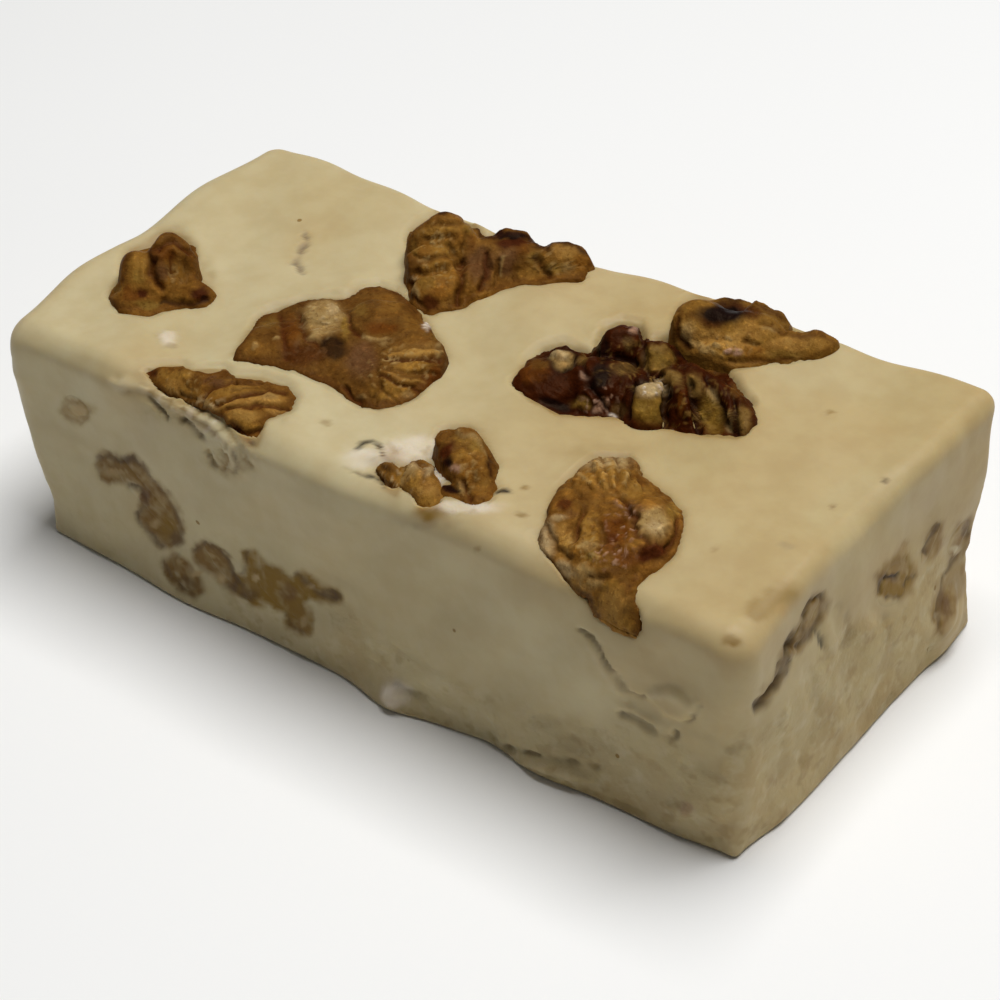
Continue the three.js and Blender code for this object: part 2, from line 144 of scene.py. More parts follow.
# Nuts cut through, in millimetres unless said otherwise.
CUT_STEPS = 44  # squares along each side of a cut nut's grid
CUT_DEPTH = 2.2  # how far a cut nut runs into the slab
CUT_LARGER = 1.08  # its outline beside its solid's, before clouds
CUT_DIP = 0.2  # how far its edge dips under the fudge
CUT_SEEDS = 8  # from the seeds of one cut nut to those of the next
NUT_GRAIN = 0.3  # how grainy the fudge smeared over it is
NUT_SUNK = 0.12  # how far the fudge is sunk behind it
NUT_SMOOTH, NUT_BEHIND = 1.5, 0.95  # shares of its outline within which fudge is smooth, and is sunk
NUT_FADE = 0.5  # share of its outline over which that sets in
NUT_FACING = 0.6  # facing that counts as being on its face
FLUSH = 0.05  # how far a cut nut stands proud of its face

# Where smoothsteps start and the span they take.
POURED = (0.4, 0.3)  # upward facing of the poured top
FRONTWARD = (0.2, 0.3)  # forward facing of the long face
SQUARE_ON = (0.5, 0.3)  # facing of a side that the knife's drag shows on
STEP_DOWN = (-1.5, 3)  # pixels inside a walnut's outline, where the top steps down
STEP_IN = (-1, 4)  # and where the long face steps back
SMEARED = (12, 20)  # millimetres left of the middle, where the long face is smeared
FLAKE_EDGE = (0.1, 0.25)  # clouds that are flakes
PIT_EDGE = (0.42, 0.3)  # clouds that are pits
PATCH_EDGE = (0.1, 0.65)  # bell of a patch
FLECK_EDGE = (0.3, 0.3)  # clouds that are flecks
DIP_EDGE = (0.5, 0.5)  # share of the way out at which a cut nut dips
SHADED_WRINKLE = (0.05, 0.6)  # depth of wrinkles that gets painted shade
HIGHLIT_WRINKLE = (0.45, 0.3)  # height of wrinkles that gets a painted highlight

# Clouds by what they make uneven: their strength, their size in millimetres and their seed.
LATTICE = 32  # random numbers along each side of their lattice
CLOUDS = {
    "crumbly height": (6, 13, 1), "fine crumbly height": (3, 5, 2),
    "swell": (0.12, 9, 3), "dimple": (0.05, 4, 4), "lump": (0.22, 3.4, 5), "crumb": (0.07, 1.3, 6),
    "flake": (1, 4.6, 7), "pit": (1, 1.9, 8), "end drag": (0.1, 2.2, 9), "front drag": (0.07, 1.8, 10),
    "butter": (0.4, 17, 11), "tan": (1, 11, 12), "pale": (1, 2.6, 13), "smudge": (1, 4.1, 17),
    "stain": (0.35, 1.1, 14), "fine stain": (0.2, 0.6, 34), "stain edge": (3, 1.6, 36),
    "patch": (0.5, 1.1, 35), "line width": (0.5, 0.9, 37), "line break": (0.7, 1.8, 30),
    "wander": (2.2, 1.2, 18), "fine wander": (1, 0.5, 15), "ragged edge": (1.6, 1.5, 25),
    "lip": (0.4, 3.5, 40), "sway": (0.4, 3, 28), "fold": (0.2, 3.4, 32), "wrinkle": (1.1, 1.9, 20),
    "fine wrinkle": (0.45, 0.9, 21), "pore": (0.25, 0.45, 22), "tone": (0.25, 4, 23),
    "fine tone": (0.15, 1.6, 24), "cut flesh": (1, 2, 27), "broken flesh": (0.6, 0.8, 31),
    "fleck": (1, 0.4, 33), "nut outline": (0.3, 0.7, 60), "fine nut outline": (0.12, 0.3, 61),
}

# Finishes: what each thing seen in them multiplies a tint's red, green and blue by, and shares.
FUDGE_MOTTLE = (0.93, 0.9, 0.86)  # mottling of the fudge
SKIN_STREAK = (0.86, 0.8, 0.72)  # streaks in walnut skin
SKIN_VEIN = (0.55, 0.42, 0.32)  # its veins
SKIN_PALE, SKIN_DARK = (1.5, 1.45, 1.35), (0.5, 0.4, 0.3)  # its paler and darker mottling
SKIN_DULLER = 0.2  # how much rougher walnut skin is where it is dullest
GRAIN_ROUGH = 0.2  # how much rougher fudge is with a grain of 1
GRAIN_HEIGHT, PLAIN_HEIGHT = 0.9, 0.12  # fine relief that grain adds, and that there is without it

# The photograph's view in the row's frame: degrees, millimetres and pixels.
VIEW_TURN, VIEW_RISE, VIEW_ROLL = np.radians([40.82, 38.67, -5.05])
VIEW_DISTANCE = 306.3
VIEW_MIDDLE = np.array([3.9, -1.3, 13.78])
PHOTO_SIDE = 1000
LENS = 90
SENSOR = 36
NEAREST = 0.01  # metres from the camera at which it starts to see

# The stage, in metres and watts.
FLOOR_REACH = 3.0
FLOOR_TINTS = (0.86, 0.86, 0.85, 1), (0.88, 0.88, 0.87, 1)
STUDIO_TINT = (1, 0.99, 0.97, 1)
STUDIO_STRENGTH = 0.09
LIGHT_PLACE = np.array([0.12, 0.16, 0.8])
LIGHT_AIM = np.array([0, 0, 0.02])
LIGHT_SIZE = 0.5
LIGHT_POWER = 7.6

# Faces with cut nuts: the outward direction, how far out the face is, and the axes of its plan.
FACES = {"front": (np.array([0, -1, 0]), -FRONT, (0, 2)), "end": (np.array([1, 0, 0]), RIGHT, (1, 2))}

# Places where the slab swells or is worn back: the middle, how far it reaches and how far it is pushed.
SWELLS = [
    ((-54, -14, 26), (10, 10, 18), (-2.2, 0, 0)),  # belly of the tray end
    ((-54, -24, 16), (8, 9, 8), (-1, 0, 0)),  # low on its corner
    ((-54, 6, 33), (10, 14, 14), (-1.2, 0, 0)),  # and along its top
    ((-54, -25, 0), (9, 9, 10), (1.6, 0.2, 0)),  # its foot, drawn in
    ((55.5, -25.6, 0), (7, 7, 11), (-1.5, 1.1, 0)),  # near corner, worn back
    ((56, 24, 2), (8, 12, 12), (0.4, -2.2, 0)),  # far corner of the cut end, at its foot
    ((56, 25, 32), (8, 12, 14), (0.7, 0, 0)),  # and at its top
    ((6, -25.6, 0), (5, 4, 4.5), (0, -1.5, 0)),  # lumps and dips along the front foot
    ((-28, -25.6, 0), (8, 4, 7), (0, -0.8, 0)),
    ((28, -25.6, 0), (5, 4, 6), (0, -0.6, 0)),
    ((20, -25.6, 0), (4, 4, 5), (0, 0.7, 0)),
    ((0, -25.6, 0), (60, 5, 8), (0, -0.5, 0)),  # the whole of the front foot
    ((40, -25.6, 10), (16, 6, 14), (0, 0.6, 0)),  # flaked stretch of the long face
    ((0, -25.6, 30), (30, 5, 12), (0, -0.8, 0)),  # its upper middle
    ((48, 26.2, 33), (14, 6, 20), (0, 0.9, 0)),  # back edge, out at the cut end
    ((10, 26.2, 33), (11, 6, 14), (0, 1, 0)),  # out again in the middle
    ((-26, 26.2, 33), (14, 6, 14), (0, -1.3, 0)),  # and in beside the back walnut
    ((0, 26.2, 6), (60, 8, 10), (0, -1.2, 0)),  # foot of the back
    ((55.5, 20, 5), (4, 4.5, 4), (1.3, 0, 0)),  # nut lump low on the cut end
    ((56, 26.5, 33.5), (4.5, 5, 4.5), (0.7, 0.5, 0.4)),  # far top corner, left crisp by the knife
    ((-7, 26.2, 33), (9, 7, 10), (0, -2.2, -1.3)),  # back edge, drawn in behind the ridged walnut
]

# Slow ripples over every face: amplitude, radians a millimetre along X, Y and Z, and phase.
RIPPLES = [
    (0.28, (0.21, 0.13, 0.17), 0.4),
    (0.22, (-0.12, 0.31, 0.26), 2.1),
    (0.14, (0.47, 0.22, -0.39), 4.4),
]

# Hollows round the walnuts and rises between them on the poured top: middle, reach and height.
TOP_RELIEF = [
    ((21, 3), (17, 9), -1.5),
    ((-12, -5), (14, 9), -0.9),
    ((-43, -7), (9, 8), -0.6),
    ((34, -18), (9, 10), -0.7),
    ((13, -17), (8, 7), -0.5),
    ((-12, 14), (12, 9), -0.4),
    ((26, 19), (12, 7), -0.5),
    ((22, -9), (9, 5), 0.5),
    ((2, 8), (7, 9), 0.5),
    ((-50, 24), (10, 9), 1.1),
]

# Colours as screen values from 0 to 255, and the knee, slope, offset and power of the screen's curve.
SCREEN_KNEE, SCREEN_SLOPE, SCREEN_OFFSET, SCREEN_POWER = 0.04045, 12.92, 0.055, 2.4
TINTS = {
    "cream": (193, 179, 140),
    "butter": (178, 157, 110),
    "tan": (180, 154, 106),
    "buff": (158, 134, 86),
    "pale": (200, 187, 152),
    "sugar": (222, 211, 196),
    "toffee": (140, 112, 62),
    "smudge": (164, 145, 108),
    "hazel": (118, 90, 44),
    "honey": (126, 97, 38),
    "chestnut": (122, 90, 28),
    "ochre": (130, 98, 16),
    # a dark brown of nut skin, also painted shade in cracks, crevices and slots of the fudge
    "bark": (84, 62, 30),
    "plum": (100, 78, 64),
    "skin": (122, 84, 32),
    "straw": (160, 120, 58),
    "gold": (140, 102, 42),
    "amber": (134, 90, 32),
    "olive": (128, 98, 42),
    "umber": (98, 65, 24),
    "russet": (98, 55, 14),
    "maroon": (68, 30, 9),
    "burnt": (22, 9, 7),
    "cocoa": (54, 20, 3),
    "mauve": (98, 66, 38),
    "flesh": (152, 124, 76),
    "bone": (172, 148, 106),
    # a pinkish tint; on the walnuts mostly painted highlights, glints on the skin
    "blush_and_glint": (164, 130, 108),
}

# How far some tints stand out of a walnut's skin, in millimetres: broken flesh is proud, burnt skin sunk.
RAISED = {
    "flesh": 0.14, "bone": 0.18, "blush_and_glint": 0.14, "sugar": 0.2, "straw": 0.06, "maroon": -0.06, "cocoa": -0.06,
    "burnt": -0.05,
}

# Walnut pieces in the top. Sizes are those of the solids: the middle, the height over which lobes run
# together, the web between them over the fudge beside it, how high the fudge lips round it, how rough it
# is, how deep it is sunk, its tone, and lobes as x, y, z, half length, half width, half height and turn,
# in the set-out axes. What shows on them is placed by pixels of the photograph: the outline where the
# fudge meets it, patches, flecks and strokes. A patch is a tint, its strength, its middle, its reach
# across and up and, where it is turned, its turn in degrees. Flecks are fine spots of a tint in such a
# place. A stroke is a tint, how deep it is pressed in millimetres, its half width and its line's pixels.
# Pinkish patches and flecks in blush on the walnuts are mostly painted highlights, glints on the skin.
WALNUTS = {
    "walnut_back_left": {
        "at": (-41.5, -9), "soft": 0.6, "web": 0.3, "lip": 0, "grain": 0.25, "depth": 4, "tone": "skin",
        "lobes": [
            (1.5, 2, 1.5, 3.2, 3, 4.8, 0),  # upright arch
            (0.5, 0.5, 2, 1.6, 2.6, 3.2, 0),  # fold raised inside it
            (-3, 1.5, 1, 3, 3, 3.6, 15),  # left shoulder
            (-0.8, 0.5, 0.4, 5.4, 3.6, 3.6, 0),  # body that joins them
            (-3, -2.5, 0.3, 3.4, 1.6, 1.4, 5),  # feet
            (4, -1.5, 0.3, 3.2, 2.7, 1.6, -20),
        ],
        "outline": (
            111, 297, 114, 289, 123, 280, 124, 262, 129, 251, 137, 247, 146, 243, 152, 238, 160, 233,
            169, 231, 179, 234, 188, 240, 193, 248, 194, 276, 203, 285, 211, 291, 211, 298, 205, 303,
            196, 305, 172, 306, 160, 309, 150, 312, 133, 310, 120, 309,
        ),
        "patches": [
            ("gold", 1, 138, 268, 12, 16), ("olive", 0.6, 140, 276, 8, 6), ("umber", 0.7, 127, 256, 5, 10),
            ("maroon", 0.7, 156, 256, 7, 10), ("russet", 0.8, 168, 254, 9, 9),
            ("mauve", 0.9, 161, 273, 8, 9), ("umber", 0.8, 183, 256, 9, 14), ("skin", 0.9, 179, 276, 8, 11),
            ("umber", 0.7, 166, 238, 15, 4), ("russet", 0.8, 131, 294, 13, 8),
            ("maroon", 1, 143, 292, 7, 4, -20), ("olive", 1, 148, 304, 12, 6),
            ("umber", 0.8, 119, 303, 6, 6), ("olive", 0.6, 118, 290, 5, 6), ("skin", 0.8, 180, 292, 12, 7),
            ("maroon", 1, 200, 294, 10, 7), ("burnt", 0.9, 207, 299, 5, 4),
        ],
        "flecks": [("flesh", 176, 275, 10, 14)],
        "strokes": [
            ("maroon", 0.6, 3, 161, 288, 155, 282, 151, 273, 152, 260),
            ("maroon", 0.5, 3, 159, 250, 166, 243, 174, 242, 182, 247, 190, 253),
            ("maroon", 0.3, 2.5, 171, 255, 171, 276), ("umber", 0.3, 3, 186, 262, 189, 282),
            ("umber", 0, 3, 124, 279, 126, 260, 135, 250, 148, 245),
            # dark line along the lower outline: painted contact shade
            ("burnt", 0.2, 2.5, 161, 302, 178, 304, 196, 304, 208, 300),
        ],
    },
    "walnut_left_half": {
        "at": (-11.5, -6), "soft": 0.9, "web": 0.2, "lip": 0.1, "grain": 0.3, "depth": 5, "tone": "umber",
        "lobes": [
            (-10.5, 2.5, -0.2, 6.4, 4.4, 2.3, 12),  # dark tapering lobe
            (-3, 0, -0.4, 8, 5.6, 2.2, -8),  # hollow middle
            (-4.5, 5.5, 0.8, 2.6, 2.2, 1.9, -5),  # pale broken corner
            (2.5, 4.5, 0.3, 4.8, 4.8, 2.5, 0),  # smooth dome
            (2, -2.5, -0.3, 6.8, 6.2, 2.1, 0),  # body under the folds
            (6.5, -0.5, 0.2, 4, 3.2, 2.3, -20),  # folds that fan out to the right
            (6, -4.5, 0, 4.2, 3, 2.2, 5),
            (3, -7.5, -0.2, 4.4, 2.8, 2.1, 15),
        ],
        "outline": (
            235, 357, 245, 340, 258, 322, 266, 315, 302, 303, 347, 299, 360, 290, 380, 287, 395, 292,
            410, 305, 420, 318, 440, 345, 446, 358, 440, 370, 430, 380, 415, 395, 400, 402, 378, 408,
            362, 404, 352, 398, 340, 388, 310, 374, 290, 369, 260, 362,
        ),
        "patches": [
            ("umber", 1, 274, 328, 20, 13), ("olive", 0.4, 268, 322, 10, 6),
            ("skin", 0.9, 258, 350, 18, 8, -10), ("russet", 0.8, 291, 338, 9, 22),
            ("maroon", 0.7, 306, 356, 22, 11), ("umber", 0.8, 330, 376, 26, 10, -20),
            ("umber", 1, 364, 303, 14, 11), ("olive", 0.5, 362, 309, 8, 6), ("skin", 0.8, 390, 304, 13, 12),
            ("russet", 0.9, 382, 328, 16, 6), ("mauve", 1, 362, 360, 17, 18),
            ("skin", 0.7, 414, 328, 12, 16), ("straw", 0.8, 414, 351, 26, 6), ("gold", 1, 409, 367, 18, 7),
            ("russet", 0.9, 432, 377, 8, 12, -20), ("gold", 1, 391, 391, 20, 10),
            ("flesh", 0.5, 407, 396, 6, 4), ("flesh", 0.9, 438, 352, 4, 8), ("olive", 0.9, 435, 331, 5, 11),
            ("sugar", 1, 426, 327, 4.5, 5.5), ("flesh", 0.8, 424, 313, 4, 3), ("flesh", 0.9, 278, 339, 4, 3),
            ("flesh", 0.6, 254, 347, 4, 3), ("umber", 0.9, 354, 395, 10, 9), ("flesh", 0.6, 362, 397, 4, 3),
            ("flesh", 1.2, 324, 318, 21, 17), ("flesh", 1, 317, 337, 6, 6), ("bone", 0.9, 332, 311, 7, 5),
            ("olive", 1, 345, 328, 4, 12), ("burnt", 0.8, 334, 350, 13, 12),
        ],
        "flecks": [("mauve", 305, 355, 24, 14), ("flesh", 400, 370, 36, 26), ("bone", 322, 322, 20, 16)],
        "strokes": [
            ("maroon", 0.3, 2.5, 300, 316, 304, 336, 318, 346),
            ("burnt", 0.2, 2.5, 322, 345, 332, 337, 342, 343),
            ("maroon", 0.3, 2.5, 349, 316, 352, 330, 364, 337),
            ("umber", 0, 3, 352, 293, 372, 288, 392, 291, 405, 302),
            ("flesh", -0.1, 2, 364, 336, 373, 341, 391, 341),
            ("maroon", 0.25, 1.8, 386, 360, 412, 359, 441, 362),
            ("umber", 0.2, 1.8, 388, 352, 412, 347, 440, 350),
            ("umber", 0.2, 1.8, 386, 368, 408, 373, 434, 375),
            ("maroon", 0.25, 1.8, 382, 376, 402, 386, 420, 391),
            ("umber", 0.2, 1.8, 377, 384, 388, 395, 396, 403),
            ("umber", 0.15, 1.6, 388, 342, 408, 334, 426, 336),
            ("straw", -0.08, 1.6, 390, 356, 414, 353, 438, 356),
            ("straw", -0.08, 1.6, 388, 372, 406, 380, 426, 383),
            ("maroon", 0.4, 2.5, 345, 388, 353, 397, 362, 404),
            ("umber", 0.3, 2.5, 374, 402, 381, 386, 378, 370),
            ("maroon", 0.25, 4, 282, 318, 286, 338, 284, 358),
        ],
    },
    "walnut_back_middle": {
        "at": (-10, 15), "soft": 0.8, "web": 0.3, "lip": 0, "grain": 0.3, "depth": 4, "tone": "skin",
        "lobes": [
            (-4, 3.5, 2.2, 4.6, 3.4, 4.2, -8),  # tall ridged fan
            (-6, -0.5, 1, 3.7, 2.8, 3.2, 0),
            (-5.5, -4.5, 0.4, 3.2, 2.4, 2.2, 20),
            (-1.5, -3, 0.4, 3.4, 2.6, 2.2, 30),
            (2.5, 1, 1, 5.8, 3, 2.8, -10),  # saddle
            (4.5, 3, 2.4, 2.2, 1.3, 1.4, -8),  # dark chip on its edge
            (10.5, 0, 0.7, 4.8, 2.5, 2.2, -6),  # golden end
        ],
        "outline": (
            409, 242, 413, 232, 425, 222, 440, 213, 452, 210, 463, 211, 472, 215, 479, 232, 484, 237,
            494, 237, 502, 229, 526, 233, 539, 247, 546, 249, 555, 240, 575, 245, 585, 249, 589, 258,
            584, 272, 578, 279, 520, 282, 500, 287, 476, 294, 466, 303, 458, 306, 440, 309, 432, 313,
            424, 311, 415, 302, 411, 292, 410, 262,
        ),
        "patches": [
            ("skin", 0.8, 440, 240, 28, 26), ("gold", 0.8, 440, 230, 17, 7), ("gold", 0.8, 445, 250, 14, 7),
            ("gold", 0.9, 435, 268, 18, 7), ("olive", 0.9, 467, 226, 7, 9), ("russet", 0.6, 470, 243, 6, 8),
            ("amber", 0.9, 440, 290, 14, 8), ("olive", 0.6, 428, 284, 10, 7),
            ("maroon", 0.9, 430, 303, 10, 7), ("umber", 0.7, 453, 300, 6, 8),
            ("umber", 0.9, 415, 264, 6, 10), ("olive", 0.6, 414, 248, 4, 10),
            ("mauve", 0.9, 480, 265, 16, 20), ("mauve", 0.9, 508, 262, 14, 16),
            ("umber", 0.7, 493, 285, 14, 8), ("russet", 0.6, 522, 252, 10, 8),
            ("olive", 0.8, 535, 258, 7, 7), ("gold", 0.8, 528, 273, 12, 7), ("olive", 0.9, 556, 268, 12, 8),
            ("straw", 0.8, 567, 252, 14, 7), ("amber", 1, 580, 262, 7, 8), ("flesh", 0.6, 568, 266, 5, 5),
            ("flesh", 1, 434, 244, 4, 3), ("flesh", 0.9, 416, 292, 4, 8, 15),
            ("bone", 0.8, 414, 279, 6, 2.5, -15), ("maroon", 1, 512, 243, 20, 6),
            ("burnt", 1.2, 515, 235, 14, 4.5, -8), ("burnt", 1, 501, 233, 5, 6),
        ],
        "flecks": [("flesh", 440, 255, 24, 34), ("flesh", 555, 262, 26, 14)],
        "strokes": [
            ("umber", 0.35, 3, 418, 272, 432, 274, 446, 270),
            ("umber", 0.3, 2.5, 425, 240, 440, 237, 452, 239),
            ("umber", 0.3, 2.5, 414, 256, 430, 259, 449, 257),
            ("umber", 0.25, 2.5, 438, 222, 455, 226, 463, 223),
            ("umber", 0.3, 2.5, 450, 248, 456, 262, 461, 276),
            ("maroon", 0.5, 3.5, 463, 262, 461, 280, 458, 303),
            ("maroon", 0.35, 3, 484, 254, 488, 275, 480, 291), ("umber", 0.3, 3, 468, 236, 462, 250),
            ("umber", 0.25, 3, 499, 262, 497, 285), ("umber", 0.25, 3, 520, 258, 516, 280),
            ("burnt", 0, 2.5, 441, 213, 456, 210, 471, 215, 478, 228, 482, 238, 495, 237, 502, 230),
            ("burnt", 0, 2.5, 527, 234, 537, 246, 547, 250, 555, 241, 576, 246, 588, 255),
            ("maroon", 0.4, 3, 536, 258, 542, 268, 550, 278),
            ("umber", 0.2, 2.5, 412, 284, 413, 298, 424, 310), ("flesh", -0.05, 1.5, 503, 256, 503, 276),
        ],
    },
    "walnut_front_left": {
        "at": (-20, -22), "soft": 0.8, "web": 0.2, "lip": 0.1, "grain": 0.3, "depth": 10, "tone": "skin",
        "lobes": [
            (-5.5, 4, -0.6, 3.2, 2.6, 1.7, -30),  # long ridges side by side
            (-2, 3, -0.3, 4, 2.2, 1.8, -10),
            (1.5, 0.5, -0.3, 4.6, 1.7, 1.7, 2),
            (3.5, -1.5, -0.7, 5.2, 1.7, 1.7, -6),
            (3, -3.5, -1.4, 3.8, 2.2, 2, -12),
            (-0.5, -2, -2.8, 7.4, 3.4, 4, -42),  # broken body under them
        ],
        "outline": (
            146, 373, 160, 369, 183, 367, 193, 373, 226, 372, 233, 379, 262, 381, 285, 389, 293, 398,
            289, 410, 264, 420, 262, 432, 257, 446, 250, 446, 243, 439, 234, 428, 222, 416, 205, 408,
            188, 403, 170, 395, 157, 387,
        ),
        "patches": [
            ("gold", 1, 178, 375, 18, 6), ("straw", 0.8, 176, 387, 13, 7, -20),
            ("gold", 0.7, 187, 391, 8, 7), ("maroon", 0.9, 153, 373, 8, 4), ("umber", 0.9, 197, 384, 7, 8),
            ("mauve", 1, 214, 381, 12, 7), ("umber", 0.8, 226, 376, 9, 4), ("gold", 1, 240, 391, 27, 5, 8),
            ("straw", 1, 266, 399, 20, 5, -3), ("flesh", 0.6, 268, 397, 10, 2.5),
            ("straw", 0.9, 240, 404, 18, 3.5, 8), ("straw", 0.8, 275, 412, 12, 4, -10),
            ("straw", 0.9, 245, 417, 16, 7), ("gold", 1, 250, 427, 14, 5), ("maroon", 0.8, 236, 432, 6, 4),
            ("maroon", 1, 249, 443, 4, 11, 35), ("russet", 0.8, 256, 447, 4, 8, 35),
            ("flesh", 0.8, 210, 405, 10, 4, -25),
        ],
        "flecks": [("bone", 205, 404, 26, 8), ("flesh", 180, 385, 26, 12)],
        "strokes": [
            ("maroon", 0.3, 2, 202, 402, 210, 393, 222, 386, 236, 383),
            ("umber", 0.3, 2, 236, 383, 262, 382),
            ("maroon", 0.3, 2, 217, 405, 232, 399, 250, 394, 270, 391, 286, 395),
            ("maroon", 0.3, 2, 228, 411, 242, 409, 262, 405, 280, 408, 289, 411),
            ("umber", 0.25, 2, 179, 394, 190, 399, 200, 400),
            ("maroon", 0.4, 2.5, 231, 426, 245, 433, 262, 432),
            ("umber", 0.15, 1.6, 206, 386, 214, 379, 226, 376),
            ("umber", 0.15, 1.6, 232, 393, 252, 388, 272, 387),
            ("umber", 0.12, 1.4, 180, 370, 184, 382, 192, 392),
        ],
    },
    "walnut_front_middle": {
        "at": (12, -16.5), "soft": 0.6, "web": 0.3, "lip": 0, "grain": 0.7, "depth": 4, "tone": "skin",
        "lobes": [
            (0.5, 2, 0.4, 3.4, 2.9, 2.5, -25),
            (0.6, -0.5, 0, 3.4, 4.6, 2.4, -10),  # body that joins the rest
            (1.5, -3, 0, 2.6, 2.7, 2.1, 0),
            (-2, 1.5, 0.2, 1.4, 2.4, 2, 30),
        ],
        "outline": (
            437, 441, 441, 434, 450, 431, 468, 430, 478, 436, 486, 446, 491, 455, 494, 466, 490, 476,
            494, 486, 488, 496, 471, 502, 456, 498, 442, 492, 444, 487, 455, 484, 454, 475, 446, 466,
            440, 453,
        ),
        "patches": [
            ("olive", 0.8, 459, 440, 14, 6), ("umber", 0.9, 448, 443, 8, 7), ("gold", 0.9, 464, 453, 10, 8),
            ("olive", 0.9, 477, 446, 8, 8), ("umber", 0.8, 489, 463, 6, 10), ("amber", 0.9, 468, 471, 9, 11),
            ("skin", 0.9, 478, 481, 10, 12), ("gold", 0.8, 488, 484, 5, 9), ("umber", 0.8, 470, 498, 11, 4),
            ("maroon", 1, 446, 452, 6, 9, -25), ("burnt", 1, 449, 463, 6, 6), ("blush_and_glint", 0.9, 456, 469, 5, 4),
            ("flesh", 0.6, 460, 488, 4, 8), ("burnt", 1, 450, 491, 10, 4, -10),
        ],
        "flecks": [("flesh", 472, 470, 16, 24)],
        "strokes": [
            ("umber", 0.3, 2.5, 442, 437, 454, 434, 465, 437),
            ("flesh", -0.15, 2, 458, 432, 472, 436, 481, 445, 485, 456),
            ("umber", 0.3, 2.5, 453, 452, 465, 449, 478, 460),
            ("maroon", 0.4, 2.5, 462, 480, 466, 492, 472, 501), ("umber", 0.3, 2.5, 472, 468, 475, 484),
            ("burnt", 0.1, 2.5, 488, 458, 491, 477),
        ],
    },
    "walnut_front_crumb": {
        "at": (8.5, -21.5), "soft": 0.5, "web": 0.2, "lip": 0, "grain": 1, "depth": 6, "tone": "gold",
        "lobes": [
            (1.5, -2, -1.5, 2.4, 3.4, 2.8, 20),
            (-2, 0.5, -0.6, 2.1, 1.6, 1.7, -30),
            (0.5, 1, -0.2, 2.2, 1.4, 1.4, -20),
        ],
        "outline": (
            377, 471, 384, 463, 392, 464, 398, 469, 412, 463, 420, 462, 427, 467, 434, 478, 440, 486,
            440, 508, 430, 514, 421, 512, 416, 500, 413, 491, 400, 487, 396, 495, 386, 488,
        ),
        "patches": [
            ("umber", 0.8, 388, 470, 9, 7), ("amber", 0.9, 388, 478, 9, 8), ("umber", 0.9, 393, 489, 5, 7),
            ("gold", 0.8, 404, 477, 7, 9), ("flesh", 1, 413, 470, 9, 7), ("bone", 1, 429, 472, 6, 5),
            ("bone", 0.8, 416, 468, 5, 4), ("flesh", 0.8, 404, 481, 5, 5), ("straw", 1, 427, 488, 10, 9),
            ("gold", 1, 429, 504, 9, 9),
        ],
        "flecks": [("bone", 408, 476, 28, 16), ("umber", 400, 478, 30, 16)],
        "strokes": [
            ("maroon", 0.3, 2.5, 376, 474, 385, 483, 393, 495),
            ("umber", 0.3, 2.5, 404, 466, 416, 462, 424, 467, 425, 477),
            ("burnt", 0.1, 2, 383, 464, 390, 470),
        ],
    },
    "walnut_front_right": {
        "at": (34, -18), "soft": 0.7, "web": 0.2, "lip": 0, "grain": 1, "depth": 9, "tone": "skin",
        "lobes": [
            (0.5, 8.5, -0.1, 4.3, 3.9, 2.4, -10),  # rim of the bowl
            (-4.5, 4, -0.3, 3.6, 4.8, 2.2, 8),
            (-0.5, 2, -0.5, 7.2, 8.6, 2, 0),  # its hollow
            (4.5, 1.5, 0.5, 2.6, 3.2, 1.7, 0),  # pale round chip
            (3, -3, -0.2, 3.2, 2.6, 2, 25),  # dark fold
            (-2, -4.5, -0.7, 3.9, 3.4, 2.2, -15),
            (-0.5, -8.5, -1.9, 4, 3, 3.2, -42),  # tail over the edge
        ],
        "outline": (
            540, 540, 546, 525, 551, 505, 562, 487, 580, 470, 600, 458, 630, 459, 641, 475, 655, 488,
            668, 500, 680, 516, 676, 540, 667, 558, 650, 570, 633, 583, 628, 595, 638, 610, 640, 630,
            632, 637, 612, 626, 597, 615, 586, 600, 565, 582, 549, 556,
        ),
        "patches": [
            ("tan", 0.9, 598, 462, 34, 9), ("gold", 0.9, 612, 479, 27, 10), ("skin", 0.9, 600, 496, 24, 12),
            ("umber", 0.8, 582, 502, 10, 9), ("gold", 0.8, 634, 491, 16, 8), ("flesh", 0.8, 596, 468, 5, 4),
            ("bone", 1, 549, 540, 10, 18), ("mauve", 0.5, 568, 516, 11, 4), ("bone", 0.6, 558, 519, 8, 4),
            ("russet", 1, 617, 530, 18, 18), ("maroon", 0.7, 612, 545, 10, 12),
            ("gold", 0.9, 591, 528, 9, 16), ("straw", 1, 566, 542, 10, 16), ("flesh", 0.7, 590, 546, 8, 7),
            ("olive", 1, 594, 556, 9, 6), ("mauve", 0.7, 634, 511, 12, 9),
            ("maroon", 1, 652, 553, 20, 9, 15), ("russet", 0.9, 626, 560, 14, 12),
            ("umber", 0.9, 616, 575, 22, 8), ("flesh", 0.8, 586, 572, 11, 7),
            ("bone", 0.9, 566, 570, 12, 8, -40), ("straw", 0.9, 578, 583, 10, 7, -30),
            ("flesh", 0.6, 596, 583, 8, 6), ("gold", 0.9, 612, 586, 10, 6), ("straw", 1, 614, 600, 16, 11),
            ("gold", 0.9, 597, 604, 6, 8, -35), ("straw", 0.7, 614, 611, 13, 7, -20),
            ("gold", 0.8, 619, 624, 18, 8, -30), ("flesh", 1.2, 653, 525, 15, 16),
            ("bone", 0.7, 655, 530, 9, 9), ("olive", 0.9, 672, 512, 7, 9),
            ("maroon", 0.9, 565, 504, 8, 7, 30),
        ],
        "flecks": [
            # the blush flecks are painted glints
            ("blush_and_glint", 626, 522, 20, 20), ("blush_and_glint", 614, 556, 20, 16), ("flesh", 610, 480, 36, 16),
            ("umber", 600, 535, 40, 40), ("flesh", 585, 560, 20, 30), ("umber", 612, 605, 24, 24),
